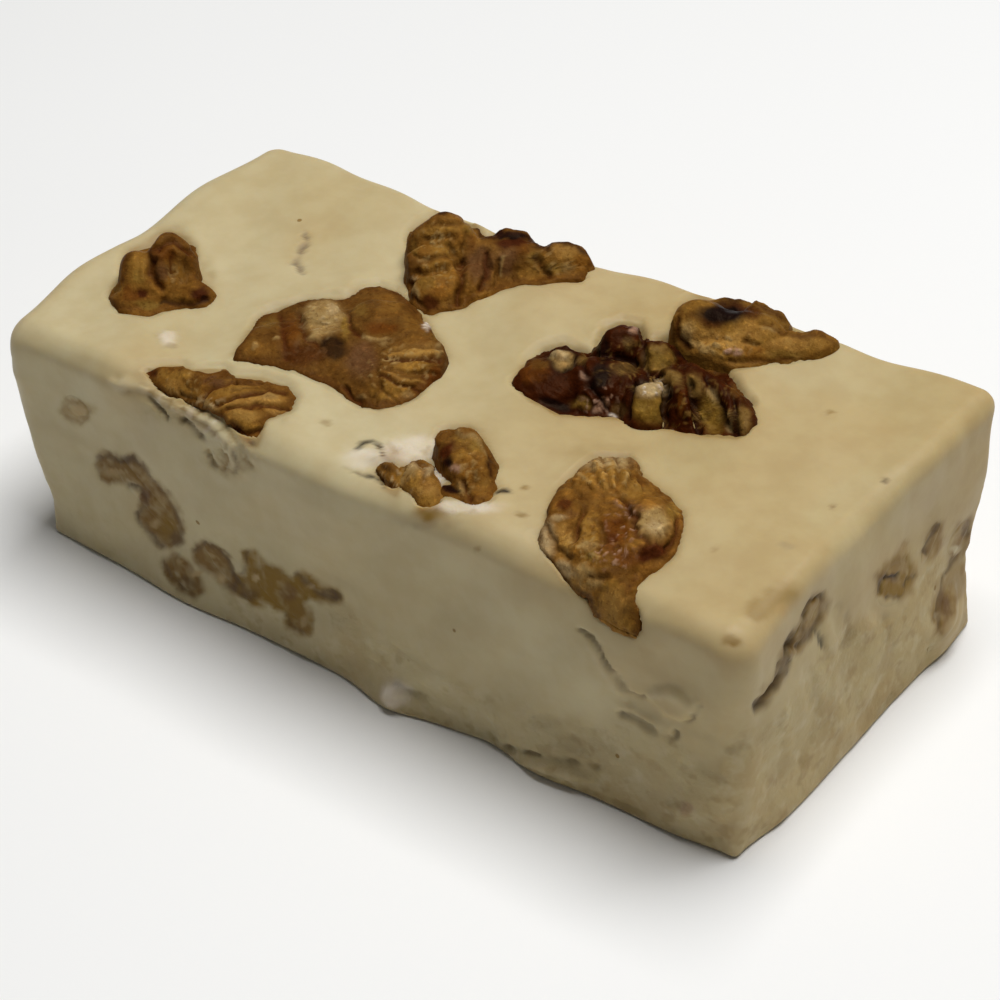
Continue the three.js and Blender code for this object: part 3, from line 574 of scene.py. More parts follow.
        ],
        "strokes": [
            ("maroon", 0.5, 3, 584, 511, 580, 526, 574, 541),
            ("umber", 0.3, 3, 600, 524, 603, 540, 600, 556),
            ("umber", 0.25, 2, 590, 468, 596, 478, 600, 490),
            ("umber", 0.25, 2, 602, 462, 608, 476, 608, 488),
            ("umber", 0.25, 2, 616, 460, 620, 474, 618, 488),
            ("umber", 0.25, 2, 630, 464, 632, 478, 628, 490),
            ("straw", -0.1, 1.8, 596, 464, 603, 476, 604, 488),
            ("straw", -0.1, 1.8, 610, 461, 614, 474, 613, 486), ("flesh", -0.1, 1.8, 580, 476, 590, 484),
            ("umber", 0.2, 2, 641, 478, 644, 492), ("umber", 0.2, 2, 572, 486, 580, 496, 582, 508),
            ("maroon", 0.4, 3, 622, 500, 634, 516, 638, 536, 648, 544),
            ("maroon", 0.4, 2.5, 668, 548, 674, 534, 676, 522),
            ("umber", 0.3, 3, 549, 528, 557, 548, 572, 560),
            ("bark", 0.1, 3, 549, 556, 560, 574, 580, 590, 590, 602, 598, 615),
            ("umber", 0.3, 3, 592, 576, 604, 580, 618, 574), ("umber", 0.2, 3, 622, 582, 633, 584),
        ],
    },
    "walnut_centre_half": {
        "at": (21, 7), "soft": 0.45, "web": -0.5, "lip": 0.1, "grain": 0.9, "depth": 6, "tone": "cocoa",
        "slot": "walnut_dark_skin",
        "lobes": [
            (-11, 3, -1, 5, 4.4, 2.6, -10),  # left bowl
            (-9, 5, 0.6, 2, 2, 2, 0),  # pale chip on it
            (-2.5, 6.5, 0.9, 2.9, 2.5, 2.5, 10),  # dark twisted ridge
            (-5, 1, -0.3, 4.2, 4.6, 2.7, 20),
            (-0.5, -3.5, 0.1, 2.3, 4, 2.3, 0),  # pale block
            (1.5, 5, 0.1, 2.4, 2.8, 2.2, 0),
            (3.5, -3, -0.1, 2, 5, 2.6, 8),  # ridges side by side
            (6, -2.5, 0.1, 2.1, 5, 2.4, 18),
            (8, -5, -0.3, 2, 5, 2.3, 22),
            (10, -8, -0.6, 1.9, 3.8, 1.8, 10),
            (-1, 1.5, -2.2, 12, 4.4, 2, -14),  # body under them
        ],
        "outline": (
            515, 383, 522, 371, 532, 361, 552, 351, 566, 347, 580, 354, 592, 357, 600, 343, 608, 331,
            622, 327, 641, 330, 647, 344, 660, 343, 675, 346, 690, 357, 720, 364, 735, 384, 742, 397,
            752, 408, 753, 424, 738, 438, 700, 437, 660, 429, 630, 421, 600, 418, 560, 416, 536, 404,
        ),
        "patches": [
            ("russet", 0.6, 535, 372, 14, 12), ("umber", 0.8, 538, 365, 10, 6),
            ("cocoa", 1, 562, 386, 22, 11), ("burnt", 1, 556, 406, 21, 7, -18),
            ("olive", 0.9, 582, 403, 10, 6), ("burnt", 0.9, 563, 360, 16, 13),
            ("flesh", 1.2, 563, 360, 11, 9), ("bone", 0.9, 560, 356, 6, 5), ("hazel", 0.9, 583, 360, 4, 6),
            ("cocoa", 0.9, 610, 402, 12, 14), ("burnt", 1, 600, 376, 10, 16, -20),
            ("bark", 0.9, 624, 370, 14, 7), ("cocoa", 1, 614, 344, 15, 14), ("burnt", 0.9, 603, 345, 7, 12),
            ("bark", 0.9, 627, 344, 6, 8), ("bark", 0.7, 619, 410, 7, 9), ("olive", 1, 658, 358, 14, 13),
            ("hazel", 0.9, 660, 350, 8, 5), ("honey", 1, 649, 408, 15, 16), ("bone", 1.2, 652, 390, 16, 8),
            ("hazel", 1, 671, 379, 10, 7), ("cocoa", 1, 682, 412, 14, 22), ("russet", 0.9, 682, 405, 4, 12),
            # the burnt patch at 690, 354 and the umber one at 712, 368 are painted shadow under the back
            # right walnut's edge
            ("hazel", 1, 695, 386, 7, 12, 25), ("burnt", 0.9, 690, 354, 18, 8),
            ("umber", 0.9, 712, 368, 16, 6, -15), ("honey", 1, 712, 415, 11, 20, 12),
            ("flesh", 0.9, 714, 396, 5, 8, 25), ("flesh", 0.9, 729, 420, 3.5, 12),
            ("cocoa", 1, 727, 402, 7, 11, 20), ("umber", 0.8, 738, 390, 8, 8), ("hazel", 1, 744, 420, 8, 14),
            # the blush patches here are painted highlights, glints on the skin
            ("blush_and_glint", 0.9, 584, 375, 4, 3), ("blush_and_glint", 0.8, 597, 409, 5, 4), ("blush_and_glint", 0.9, 606, 402, 4, 4),
            ("sugar", 0.8, 613, 416, 4, 3), ("blush_and_glint", 1, 633, 331, 5, 3), ("blush_and_glint", 0.9, 726, 368, 4, 3),
        ],
        "flecks": [
            # the blush flecks are painted glints
            ("blush_and_glint", 600, 400, 20, 14), ("sugar", 652, 390, 16, 8), ("hazel", 640, 365, 40, 24),
            ("hazel", 700, 405, 44, 26),
        ],
        "strokes": [
            ("burnt", 0.3, 2.5, 552, 352, 565, 347, 576, 353, 577, 366, 566, 371),
            ("burnt", 0.5, 3, 584, 368, 590, 384, 600, 395, 608, 410),
            ("burnt", 0.5, 3, 633, 382, 631, 400, 628, 418), ("burnt", 0.6, 3, 668, 384, 665, 405, 665, 430),
            ("burnt", 0.6, 3, 690, 384, 695, 408, 699, 434),
            ("burnt", 0.5, 3, 706, 380, 718, 398, 724, 416, 734, 434),
            ("burnt", 0.4, 2.5, 735, 398, 738, 433), ("burnt", 0.4, 3, 643, 334, 645, 350, 648, 375),
            ("burnt", 0.4, 3, 600, 357, 620, 358, 641, 366), ("burnt", 0.4, 3, 662, 377, 648, 381, 634, 385),
        ],
    },
    "walnut_back_right": {
        "at": (26.5, 20), "soft": 0.8, "web": 0.3, "lip": 0, "grain": 0.2, "depth": 4, "tone": "gold",
        "lobes": [
            (-5, 2.5, 1.1, 4.3, 3.5, 3.2, 0),  # smooth rounded body
            (-0.5, 0.5, 1, 5, 3.2, 3, -14),
            (2.5, 3, 1.6, 2.8, 1.4, 1.9, -26),  # rim
            (-2.5, -2.5, 0.2, 4, 1.6, 1.6, -8),
            (6, -2.5, 0.4, 5.6, 2.1, 1.9, -6),  # tail
        ],
        "outline": (
            674, 320, 680, 309, 692, 299, 712, 296, 735, 300, 745, 297, 762, 305, 780, 315, 788, 324,
            786, 332, 802, 334, 820, 331, 835, 341, 829, 349, 808, 355, 785, 359, 762, 361, 738, 368,
            722, 364, 705, 357, 684, 346, 675, 334,
        ),
        "patches": [
            ("gold", 1, 690, 309, 14, 8), ("umber", 0.8, 680, 318, 5, 10), ("umber", 0.8, 700, 319, 15, 6),
            ("straw", 1, 705, 339, 20, 9), ("flesh", 1, 688, 335, 8, 11), ("straw", 1, 736, 342, 20, 9),
            ("flesh", 0.7, 702, 348, 14, 4, -20), ("straw", 0.7, 752, 332, 20, 8),
            ("amber", 1, 756, 353, 14, 7), ("umber", 0.7, 752, 315, 14, 6),
            ("hazel", 0.8, 772, 314, 12, 5, -30), ("flesh", 0.8, 772, 329, 8, 3, -10),
            ("straw", 1, 790, 344, 24, 7), ("gold", 0.8, 822, 346, 12, 9), ("olive", 0.7, 780, 354, 24, 4),
            ("maroon", 0.9, 730, 308, 22, 7), ("maroon", 0.8, 712, 322, 14, 8),
            ("maroon", 0.7, 748, 312, 18, 6, -10), ("umber", 0.6, 702, 314, 18, 8),
            # the blush patches here are painted highlights, glints on the skin
            ("burnt", 1.1, 722, 314, 24, 11), ("flesh", 0.9, 717, 346, 5, 3), ("blush_and_glint", 1, 728, 351, 4, 3),
            ("blush_and_glint", 1, 737, 352, 5, 3.5),
        ],
        "flecks": [("flesh", 730, 345, 26, 12)],
        "strokes": [
            ("burnt", 0, 3, 692, 298, 712, 296, 733, 301, 748, 299),
            ("umber", 0.3, 3, 762, 323, 772, 326, 785, 333),
            ("umber", 0, 2.5, 787, 335, 805, 336, 820, 333, 832, 341),
            ("umber", 0.1, 2.5, 748, 301, 765, 309, 782, 321), ("umber", 0.2, 2.5, 744, 341, 757, 346),
            # dark line along the lower outline: painted shadow where it stands over the fudge
            ("umber", 0.2, 2.5, 730, 361, 750, 361, 790, 359),
            ("maroon", 0.2, 3, 676, 322, 678, 337, 690, 350),
        ],
    },
}

# Nuts cut through in the long face and in the short end. Sizes are those of the solids: the face, the
# place along it and up, half length and half width, and turn in degrees. What shows under the smeared
# fudge is placed by pixels of the photograph: the tint and strength of its stain, its soft outline, and
# patches like the walnuts'.
CUT_NUTS = {
    "nut_front_1": {
        "face": "front", "at": (-33, 15), "half": (8.6, 2.5), "turn": -38, "tint": "chestnut", "strength": 1,
        "outline": (
            96, 464, 98, 455, 108, 451, 120, 458, 132, 454, 141, 464, 152, 479, 170, 497, 178, 512, 183, 530,
            180, 543, 168, 549, 157, 543, 147, 532, 137, 520, 138, 506, 142, 494, 134, 486, 120, 481,
            106, 484, 99, 476,
        ),
        "patches": [
            ("tan", 0.7, 112, 473, 9, 4), ("ochre", 0.8, 167, 526, 9, 14), ("bark", 0.6, 126, 459, 12, 5),
            ("buff", 0.6, 160, 505, 6, 8), ("umber", 0.8, 144, 496, 6, 9), ("buff", 0.5, 146, 478, 6, 4),
            ("tan", 0.6, 154, 524, 5, 5), ("bark", 0.5, 176, 540, 8, 8),
        ],
    },
    "nut_front_2": {
        "face": "front", "at": (-27, 5.2), "half": (4.2, 2.7), "turn": 75, "tint": "chestnut", "strength": 1,
        "outline": (
            163, 564, 170, 553, 182, 556, 192, 568, 200, 580, 204, 592, 196, 600, 184, 597, 171, 584,
        ),
        "patches": [
            ("bark", 0.6, 186, 584, 10, 9), ("tan", 0.8, 197, 573, 6, 3), ("tan", 0.5, 180, 562, 4, 3),
        ],
    },
    "nut_front_3": {
        "face": "front", "at": (-20.2, 9.8), "half": (3.9, 3.2), "turn": -30, "tint": "chestnut",
        "strength": 1,
        "outline": (
            192, 550, 204, 541, 218, 546, 228, 558, 234, 572, 246, 582, 244, 594, 230, 592, 220, 578,
            206, 570, 196, 563,
        ),
        "patches": [
            ("buff", 0.7, 211, 556, 6, 4), ("tan", 0.9, 222, 577, 4, 5), ("bark", 0.6, 238, 586, 7, 6),
        ],
    },
    "nut_front_4": {
        "face": "front", "at": (-10.4, 9.6), "half": (6.8, 3.2), "turn": -24, "tint": "ochre",
        "strength": 1.05,
        "outline": (
            243, 552, 253, 552, 266, 560, 280, 566, 292, 578, 301, 572, 322, 584, 338, 588, 344, 599,
            338, 604, 310, 597, 305, 604, 315, 620, 312, 634, 300, 636, 290, 626, 284, 612, 266, 607,
            249, 602, 240, 592, 246, 576,
        ),
        "patches": [
            ("ochre", 0.9, 264, 578, 16, 12), ("bark", 0.8, 330, 594, 12, 6, -10),
            ("chestnut", 0.8, 302, 626, 11, 8), ("tan", 0.9, 256, 578, 4, 5), ("tan", 0.9, 311, 587, 4, 3),
            ("tan", 0.7, 304, 622, 4, 5), ("bark", 0.5, 250, 594, 9, 6), ("umber", 0.5, 288, 592, 9, 10),
        ],
    },
    "nut_front_5": {
        "face": "front", "at": (-42.3, 24.6), "half": (2.5, 2), "turn": 20, "tint": "buff", "strength": 0.8,
        "outline": (
            60, 409, 68, 398, 82, 398, 92, 408, 90, 420, 78, 425, 66, 420,
        ),
        "patches": [("tan", 0.8, 79, 410, 8, 6)],
    },
    "nut_end_1": {
        "face": "end", "at": (-13.4, 26.4), "half": (4.8, 1.4), "turn": 34, "tint": "chestnut",
        "strength": 0.75,
        "outline": (
            756, 710, 764, 692, 777, 674, 782, 655, 789, 640, 800, 622, 808, 602, 820, 592, 829, 600,
            824, 619, 812, 635, 800, 650, 790, 654, 785, 670, 777, 686, 766, 704,
        ),
        "patches": [
            ("buff", 0.9, 815, 612, 4, 9, -20), ("bark", 0.8, 781, 672, 6, 22, -24),
            ("bark", 0.5, 806, 634, 8, 8),
        ],
    },
    "nut_end_2": {
        "face": "end", "at": (5.6, 19.2), "half": (5, 3.4), "turn": -30, "tint": "ochre", "strength": 1,
        "outline": (
            876, 577, 884, 564, 896, 555, 905, 545, 913, 562, 919, 574, 913, 590, 903, 600, 890, 598,
            879, 594,
        ),
        "patches": [
            ("toffee", 0.7, 898, 566, 13, 7), ("umber", 0.7, 888, 577, 12, 6),
            ("ochre", 0.8, 893, 588, 10, 6), ("tan", 0.6, 905, 550, 6, 6),
        ],
    },
    "nut_end_3": {
        "face": "end", "at": (14, 19.6), "half": (3.4, 1.5), "turn": 52, "tint": "toffee", "strength": 1,
        "outline": (
            921, 553, 926, 538, 936, 524, 944, 522, 942, 540, 932, 556, 926, 561,
        ),
        "patches": [("chestnut", 0.6, 938, 528, 5, 6)],
    },
    "nut_end_4": {
        "face": "end", "at": (20.8, 15.6), "half": (3.4, 2.6), "turn": -40, "tint": "toffee", "strength": 1,
        "outline": (
            949, 554, 952, 540, 960, 522, 974, 518, 972, 540, 966, 556, 956, 563,
        ),
        "patches": [("pale", 0.7, 955, 550, 6, 4), ("bark", 0.6, 966, 530, 5, 9)],
    },
    "nut_end_5": {
        "face": "end", "at": (18.6, 7.4), "half": (4.6, 2.4), "turn": 50, "tint": "toffee", "strength": 0.95,
        "outline": (
            933, 612, 938, 592, 946, 576, 956, 563, 967, 560, 967, 588, 960, 602, 953, 620, 942, 638,
            935, 632,
        ),
        "patches": [("mauve", 0.5, 943, 604, 6, 20, 15), ("smudge", 0.6, 958, 584, 6, 12)],
    },
}

# Lines on the fudge, mostly edges of nut skin, cracks and crevices: tint, strength, depth in millimetres,
# half width in pixels of the photograph, and the pixels that the line runs through. The dark tint in cracks,
# crevices, slots and the slit is painted shade, and pale lines along lips of the cracks are painted
# highlights.
LINES = [
    ("bark", 0.6, 0.1, 3, 97, 458, 108, 455, 120, 462, 133, 456, 141, 466, 152, 480, 165, 496, 176, 514,
     181, 535),
    ("bark", 0.9, 0.2, 3, 130, 486, 140, 488, 145, 497, 144, 507, 138, 515, 140, 524, 152, 536, 160, 546),
    ("bark", 0.6, 0.1, 3, 164, 562, 168, 572, 178, 586, 192, 597),
    ("bark", 0.7, 0.1, 3, 194, 550, 204, 544, 218, 548, 228, 560, 234, 574, 244, 588),
    ("bark", 0.8, 0.2, 3, 246, 552, 247, 566, 242, 572),
    ("bark", 0.5, 0.1, 3, 234, 574, 228, 586, 240, 590, 250, 602),
    ("bark", 0.6, 0.1, 3, 296, 574, 306, 582, 318, 592, 336, 598),
    ("bark", 0.5, 0.1, 3, 286, 612, 292, 626, 304, 632),
    ("bark", 0.9, 0.6, 4, 757, 710, 770, 692, 780, 674, 786, 656, 789, 646),
    ("bark", 0.8, 0.2, 4, 768, 694, 781, 673, 787, 655, 792, 640),
    ("bark", 0.8, 0.3, 3, 789, 646, 800, 628, 810, 604, 820, 596, 826, 606, 820, 622, 808, 637, 797, 646),
    ("burnt", 0.8, 0.2, 2.5, 814, 629, 820, 637, 823, 647),
    ("burnt", 0.8, 0.2, 2.5, 879, 591, 880, 580, 892, 577, 897, 573),
    ("burnt", 0.7, 0.2, 2.5, 904, 587, 909, 578, 916, 576),
    ("bark", 0.8, 0.2, 2.5, 888, 597, 899, 597, 903, 605),
    ("bark", 0.8, 0.1, 2.5, 923, 552, 928, 538, 937, 525),
    ("bark", 0.7, 0.2, 3, 967, 545, 960, 556, 950, 566, 943, 577, 938, 600, 937, 628),
    ("bark", 0.3, 0.2, 5, 843, 608, 851, 630, 846, 646),
    ("bark", 0.25, 0.2, 5, 886, 618, 893, 642),
    # Cracks and crevices in the long face, painted dark as painted shade.
    ("bark", 0.6, 0.5, 3, 579, 628, 592, 637, 601, 651, 609, 665, 618, 681, 627, 691, 641, 697),
    ("bark", 0.65, 0.7, 3.5, 622, 712, 640, 722, 655, 732, 671, 739, 677, 734),
    ("bark", 0.6, 0.6, 3.5, 506, 748, 520, 752, 545, 757, 575, 762, 598, 767),
    ("bark", 0.3, 0.3, 3.5, 398, 683, 410, 694, 424, 697),
    # Pale raised lips along the cracks and the flake's edge, painted paler as painted highlights.
    ("pale", 0.5, -0.25, 4, 652, 694, 672, 692, 690, 700, 700, 710),
    ("pale", 0.4, -0.2, 4, 590, 646, 602, 664, 614, 688, 624, 700),
    ("pale", 0.4, -0.2, 4, 516, 760, 545, 768, 580, 774),
    # crevice under the flake, painted dark as painted shade
    ("bark", 0.5, 0.3, 3, 700, 708, 694, 718, 684, 722),
    # Slit in the top, painted dark purple-grey as painted shade.
    ("plum", 0.7, 0.4, 3.5, 304, 233, 308, 242, 300, 252, 296, 262, 302, 272),
    # dark slots beside the front left walnut, painted dark as painted shade
    ("bark", 0.9, 0.5, 3, 148, 399, 158, 406, 167, 417),
    ("bark", 0.9, 0.5, 3.5, 182, 420, 190, 424, 201, 437),
    ("bark", 0.8, 0.4, 3, 209, 457, 213, 465),
    ("toffee", 0.6, 0.1, 4, 122, 390, 134, 391, 146, 397),
    ("pale", 0.9, -0.4, 6.5, 112, 384, 136, 386, 160, 396, 184, 410, 208, 424, 226, 442, 238, 462),
    ("buff", 0.7, 0.15, 2.5, 140, 384, 162, 392, 184, 404, 206, 412, 224, 424, 236, 440),
    ("toffee", 0.7, 0.15, 2.5, 150, 392, 172, 402, 196, 418, 214, 434),
    ("toffee", 0.8, 0.2, 2.5, 206, 450, 211, 460, 218, 466),
    ("toffee", 0.8, 0.2, 2.5, 220, 450, 228, 458, 224, 470),
    ("bark", 0.6, 0.2, 2.5, 234, 452, 240, 462, 236, 472),
    ("toffee", 0.7, 0.2, 2.5, 246, 456, 252, 466),
    ("burnt", 0.9, 0.1, 2.5, 358, 449, 364, 443, 374, 441, 381, 447),
    ("bark", 0.9, 0.1, 2, 378, 446, 383, 457),
    ("bark", 0.6, 0.1, 2, 345, 467, 362, 474),
    ("burnt", 0.9, 0.1, 2.5, 366, 475, 376, 477, 384, 484),
    ("burnt", 1, 0, 3, 499, 491, 505, 491),
    ("toffee", 0.6, 0.05, 2.5, 62, 410, 69, 401, 80, 400, 88, 407, 89, 417, 81, 424, 70, 420, 62, 411),
    ("toffee", 0.4, 0.06, 2.2, 158, 388, 150, 398),
    ("toffee", 0.5, 0.1, 2.2, 176, 395, 168, 406),
    ("toffee", 0.4, 0.06, 2.2, 186, 401, 184, 412),
    ("toffee", 0.5, 0.1, 2.2, 203, 409, 192, 418),
    ("toffee", 0.4, 0.06, 2.2, 211, 416, 208, 428),
    ("toffee", 0.5, 0.1, 2.2, 225, 428, 213, 436),
    ("toffee", 0.4, 0.06, 2.2, 231, 437, 226, 447),
    ("sugar", 0.3, -0.06, 2.2, 167, 391, 158, 402),
    ("sugar", 0.35, -0.06, 2.2, 195, 405, 189, 416),
    ("sugar", 0.3, -0.06, 2.2, 218, 421, 207, 431),
]

# Places where the fudge crumbles beside a walnut: pixel of the photograph, and reach across and up.
CRUMBLED = [
    (230, 460, 32, 20), (404, 454, 44, 16), (446, 474, 12, 20), (466, 507, 34, 8), (190, 414, 44, 10),
]

# Bumps and dents on the fudge: height in millimetres, pixel of the photograph, reach across and up in
# pixels and, where it is turned, the turn in degrees.
BUMPS = [
    (0.7, 676, 704, 22, 13, -25),  # flake that stands off the long face
    (-0.4, 640, 706, 22, 9, -30),
    (0.9, 394, 694, 12, 13),  # lumps along its foot
    (0.5, 560, 772, 36, 5, -14),
    (-0.3, 545, 720, 16, 8),
    (-0.2, 486, 702, 12, 9),
    (0.4, 682, 810, 14, 5, -20),
    (0.4, 168, 339, 10, 7),  # flake on the top
    (0.25, 788, 730, 6, 22),  # streaks on the short end
    (0.2, 830, 640, 6, 26, 10),
    (-0.25, 812, 690, 8, 30, 10),
    (0.25, 870, 640, 10, 28, 10),
    (-0.2, 850, 690, 10, 26, 12),
]

# Stains, paler and darker places on the fudge, as patches like those of the walnuts, with a painted shadow
# under the flake on the top and painted light on the foot lump.
FUDGE_TINTS = [
    ("sugar", 0.65, 414, 450, 32, 14),  # dry sugary patch beside the middle walnut
    ("sugar", 0.5, 364, 458, 24, 10),
    ("sugar", 1, 446, 470, 10, 20, -30),
    ("sugar", 0.6, 466, 507, 36, 7),
    ("blush_and_glint", 0.4, 392, 454, 14, 7),
    ("plum", 0.3, 384, 462, 20, 6),
    ("mauve", 0.3, 428, 520, 34, 10),  # darker under the front crumb
    ("toffee", 1, 732, 641, 10, 6, -25),  # brown speck at the near corner
    ("buff", 1.2, 776, 600, 25, 15, 20),  # nut under the skin by the near corner
    ("buff", 1.1, 758, 610, 13, 12),
    ("tan", 0.6, 782, 610, 10, 7, 20),
    ("sugar", 0.5, 168, 339, 10, 7),  # flake on the top
    # painted shadow under the flake
    ("smudge", 0.7, 171, 347, 7, 3),
    ("honey", 0.35, 208, 272, 9, 15),  # browner beside the back left walnut
    ("tan", 0.6, 170, 402, 40, 8, -34),  # coated foot of the front left walnut
    ("buff", 0.4, 196, 416, 26, 6, -38),
    ("smudge", 0.6, 234, 462, 26, 14),
    ("toffee", 0.3, 604, 452, 40, 10),  # halo over the front right walnut
    ("sugar", 0.9, 396, 693, 14, 14),  # foot lump, painted paler as painted light against the shade at the foot
    ("cream", 0.9, 480, 722, 44, 18, -25),  # paler stretch low on the long face
    ("ochre", 0.6, 429, 514, 15, 8),  # crumb showing through the fudge
    ("blush_and_glint", 0.5, 688, 808, 9, 5, -20),
    ("olive", 0.8, 326, 422, 6, 3),  # specks on the top
    ("toffee", 0.7, 525, 488, 4, 3),
    ("olive", 0.7, 521, 515, 6, 3),
    ("toffee", 0.6, 478, 550, 4, 3),
    ("olive", 0.6, 716, 549, 4, 3),
    ("toffee", 0.7, 831, 412, 4, 3),
    ("bark", 1, 886, 481, 4, 3),
    ("umber", 0.7, 833, 506, 3, 3),
    ("smudge", 0.6, 788, 546, 10, 3),
    ("toffee", 0.25, 880, 698, 30, 12, 40),  # smears along the foot of the short end
    ("toffee", 0.2, 828, 720, 14, 24, 20),
]


def smooth(t):
    """The smoothstep of t: 0 up to 0, 1 from 1 on, and three t squared minus two t cubed between."""
    t = np.clip(t, 0, 1)
    return t * t * (3 - 2 * t)


def ramp(value, start, span):
    """The smoothstep of a value from a start over a span."""
    return smooth((value - start) / span)


def bell(points, at, reach, turn=0):
    """1 in the middle of a place, falling as e to minus the squared distance counted in reaches, which
    may be turned in the picture."""
    away = points - np.array(at)
    if turn:
        away = turned(away, np.radians(turn))
    return np.exp(-((away / np.array(reach)) ** 2).sum(-1))


def cloud(points, name, more=0):
    """Smooth random values of a named kind: numbers from -1 to 1 on a lattice with a step of its size,
    blended by smoothsteps, times its strength. More added to its seed gives other clouds of the
    same kind."""
    strength, size, seed = CLOUDS[name]
    lattice = np.random.default_rng(seed + more).uniform(-1, 1, (LATTICE,) * 3)
    place = points / size
    cell = np.floor(place).astype(int)
    share = smooth(place - cell)
    total = np.zeros(len(points))
    for corner in np.ndindex(2, 2, 2):
        weight = np.where(corner, share, 1 - share).prod(-1)
        total += weight * lattice[tuple(((cell + corner) % LATTICE).T)]
    return strength * total


def drift(points, name):
    """Moves in a plane by clouds of a kind: one across, and one with the next seed up."""
    return np.stack([cloud(points, name), cloud(points, name, 1)], -1)


def creased(points, name):
    """Clouds folded at their middle, which leaves sharp ridges: half their strength less the size of the
    value."""
    return CLOUDS[name][0] / 2 - np.abs(cloud(points, name))


def pairs(values):
    """Pixels written one after another, as rows of across and down."""
    return np.reshape(values, (-1, 2)).astype(float)


def path_distance(points, path):
    """The least distance from plane points to a path: to each straight stretch, at its nearest point."""
    nearest = np.full(len(points), np.inf)
    path = pairs(path)
    for start, end in zip(path[:-1], path[1:]):
        along = end - start
        share = np.clip((points - start) @ along / (along @ along), 0, 1)
        nearest = np.minimum(nearest, np.linalg.norm(points - start - share[:, None] * along, axis=1))
    return nearest


def inside_outline(pixels, ring):
    """How far pixels lie inside a closed outline, negative outside: the least distance to its sides, with
    a sign from whether a level ray crosses an odd number of them."""
    ring = pairs(ring + ring[:2])
    odd = np.zeros(len(pixels), bool)
    for start, end in zip(ring[:-1], ring[1:]):
        spans = (start[1] > pixels[:, 1]) != (end[1] > pixels[:, 1])
        crossing = start[0] + (pixels[:, 1] - start[1]) * (end[0] - start[0]) / (end[1] - start[1] or 1)
        odd ^= spans & (pixels[:, 0] < crossing)
    return path_distance(pixels, ring) * np.where(odd, 1, -1)


def turned(points, angle):
    """Plane points turned about the middle by an angle."""
    x, y = points[..., 0], points[..., 1]
    return np.stack([x * np.cos(angle) - y * np.sin(angle), x * np.sin(angle) + y * np.cos(angle)], -1)


def skin_of_cube(steps):
    """Points from -1 to 1 on a cube's skin and its squares: six grids, with shared corners joined."""
    size = np.array(steps)
    sides = []
    for axis in range(3):
        first, second = (axis + 1) % 3, (axis + 2) % 3
        a, b = np.meshgrid(np.arange(size[first]), np.arange(size[second]), indexing="ij")
        for far in (0, 1):
            square = np.zeros(a.shape + (4, 3), int)
            square[..., axis] = far * size[axis]
            square[..., first] = a[..., None] + np.array([0, 1, 1, 0] if far else [0, 0, 1, 1])
            square[..., second] = b[..., None] + np.array([0, 0, 1, 1] if far else [0, 1, 1, 0])
            sides.append(square.reshape(-1, 4, 3))
    squares = np.concatenate(sides)
    span = size + 1
    number = np.ravel_multi_index(np.moveaxis(squares, -1, 0), span)
    kept, faces = np.unique(number, return_inverse=True)
    lattice = np.stack(np.unravel_index(kept, span), -1)
    return lattice * 2 / size - 1, faces.reshape(-1, 4)


def ball_grid(steps):
    """Points on a ball and its squares, from a cube's skin, and how far out they lie in plan."""
    cube, faces = skin_of_cube(steps)
    ball = cube / np.linalg.norm(cube, axis=1, keepdims=True)
    return ball, faces, np.minimum(1, np.linalg.norm(ball[:, :2], axis=1))


def normals_of(points, faces):
    """Outward directions at the points: the cross products of the diagonals of squares round each, added."""
    corners = points[faces]
    facing = np.cross(corners[:, 2] - corners[:, 0], corners[:, 3] - corners[:, 1])
    total = np.zeros_like(points)
    for corner in faces.T:
        np.add.at(total, corner, facing)
    return total / np.maximum(np.linalg.norm(total, axis=1, keepdims=True), TINY)


def view_axes():
    """Right, up and back of the photograph's view: turned about Z, raised, then rolled about the line of
    sight."""
    level = np.array([np.cos(VIEW_TURN), np.sin(VIEW_TURN), 0])
    outward = np.array([np.sin(VIEW_TURN), -np.cos(VIEW_TURN), 0])
    back = outward * np.cos(VIEW_RISE) + np.array([0, 0, np.sin(VIEW_RISE)])
    upright = np.cross(back, level)
    right = np.cos(VIEW_ROLL) * level + np.sin(VIEW_ROLL) * upright
    up = np.cos(VIEW_ROLL) * upright - np.sin(VIEW_ROLL) * level
    return right, up, back


def shown_at(points):
    """Pixels of the photograph at which points of the slab show: their offsets over their depth, times
    the lens."""
    right, up, back = view_axes()
    offset = points + SHIFT - VIEW_MIDDLE
    depth = VIEW_DISTANCE - offset @ back
    pixels = PHOTO_SIDE * LENS / SENSOR
    return np.stack([PHOTO_SIDE / 2 + pixels * (offset @ right) / depth,
                     PHOTO_SIDE / 2 - pixels * (offset @ up) / depth], -1)


def wandered(points):
    """Pixels of the photograph at which points show, moved a little by clouds, so that what is drawn is
    uneven."""
    return shown_at(points) + drift(points, "wander") + drift(points, "fine wander")


def shown_side(facing):
    """1 where a surface faces the photograph's view and 0 where it is turned away."""
    return smooth(facing @ view_axes()[2] / SIDE_FADE)


def patch_share(pixels, x, y, across, up, turn=0):
    """How far pixels lie in a patch, from 0 to 1: a bell with a flat top and a crisper edge."""
    return ramp(bell(pixels, (x, y), (across, up), turn), *PATCH_EDGE)


def paint(name):
    """A tint's colour in linear light: the screen value through the screen's own curve."""
    value = np.array(TINTS[name]) / 255
    curved = ((value + SCREEN_OFFSET) / (1 + SCREEN_OFFSET)) ** SCREEN_POWER
    return np.where(value <= SCREEN_KNEE, value / SCREEN_SLOPE, curved)


def laid_on(colour, name, amount):
    """Colours mixed towards a tint by an amount at each point."""
    return colour + (paint(name) - colour) * np.clip(amount, 0, 1)[:, None]


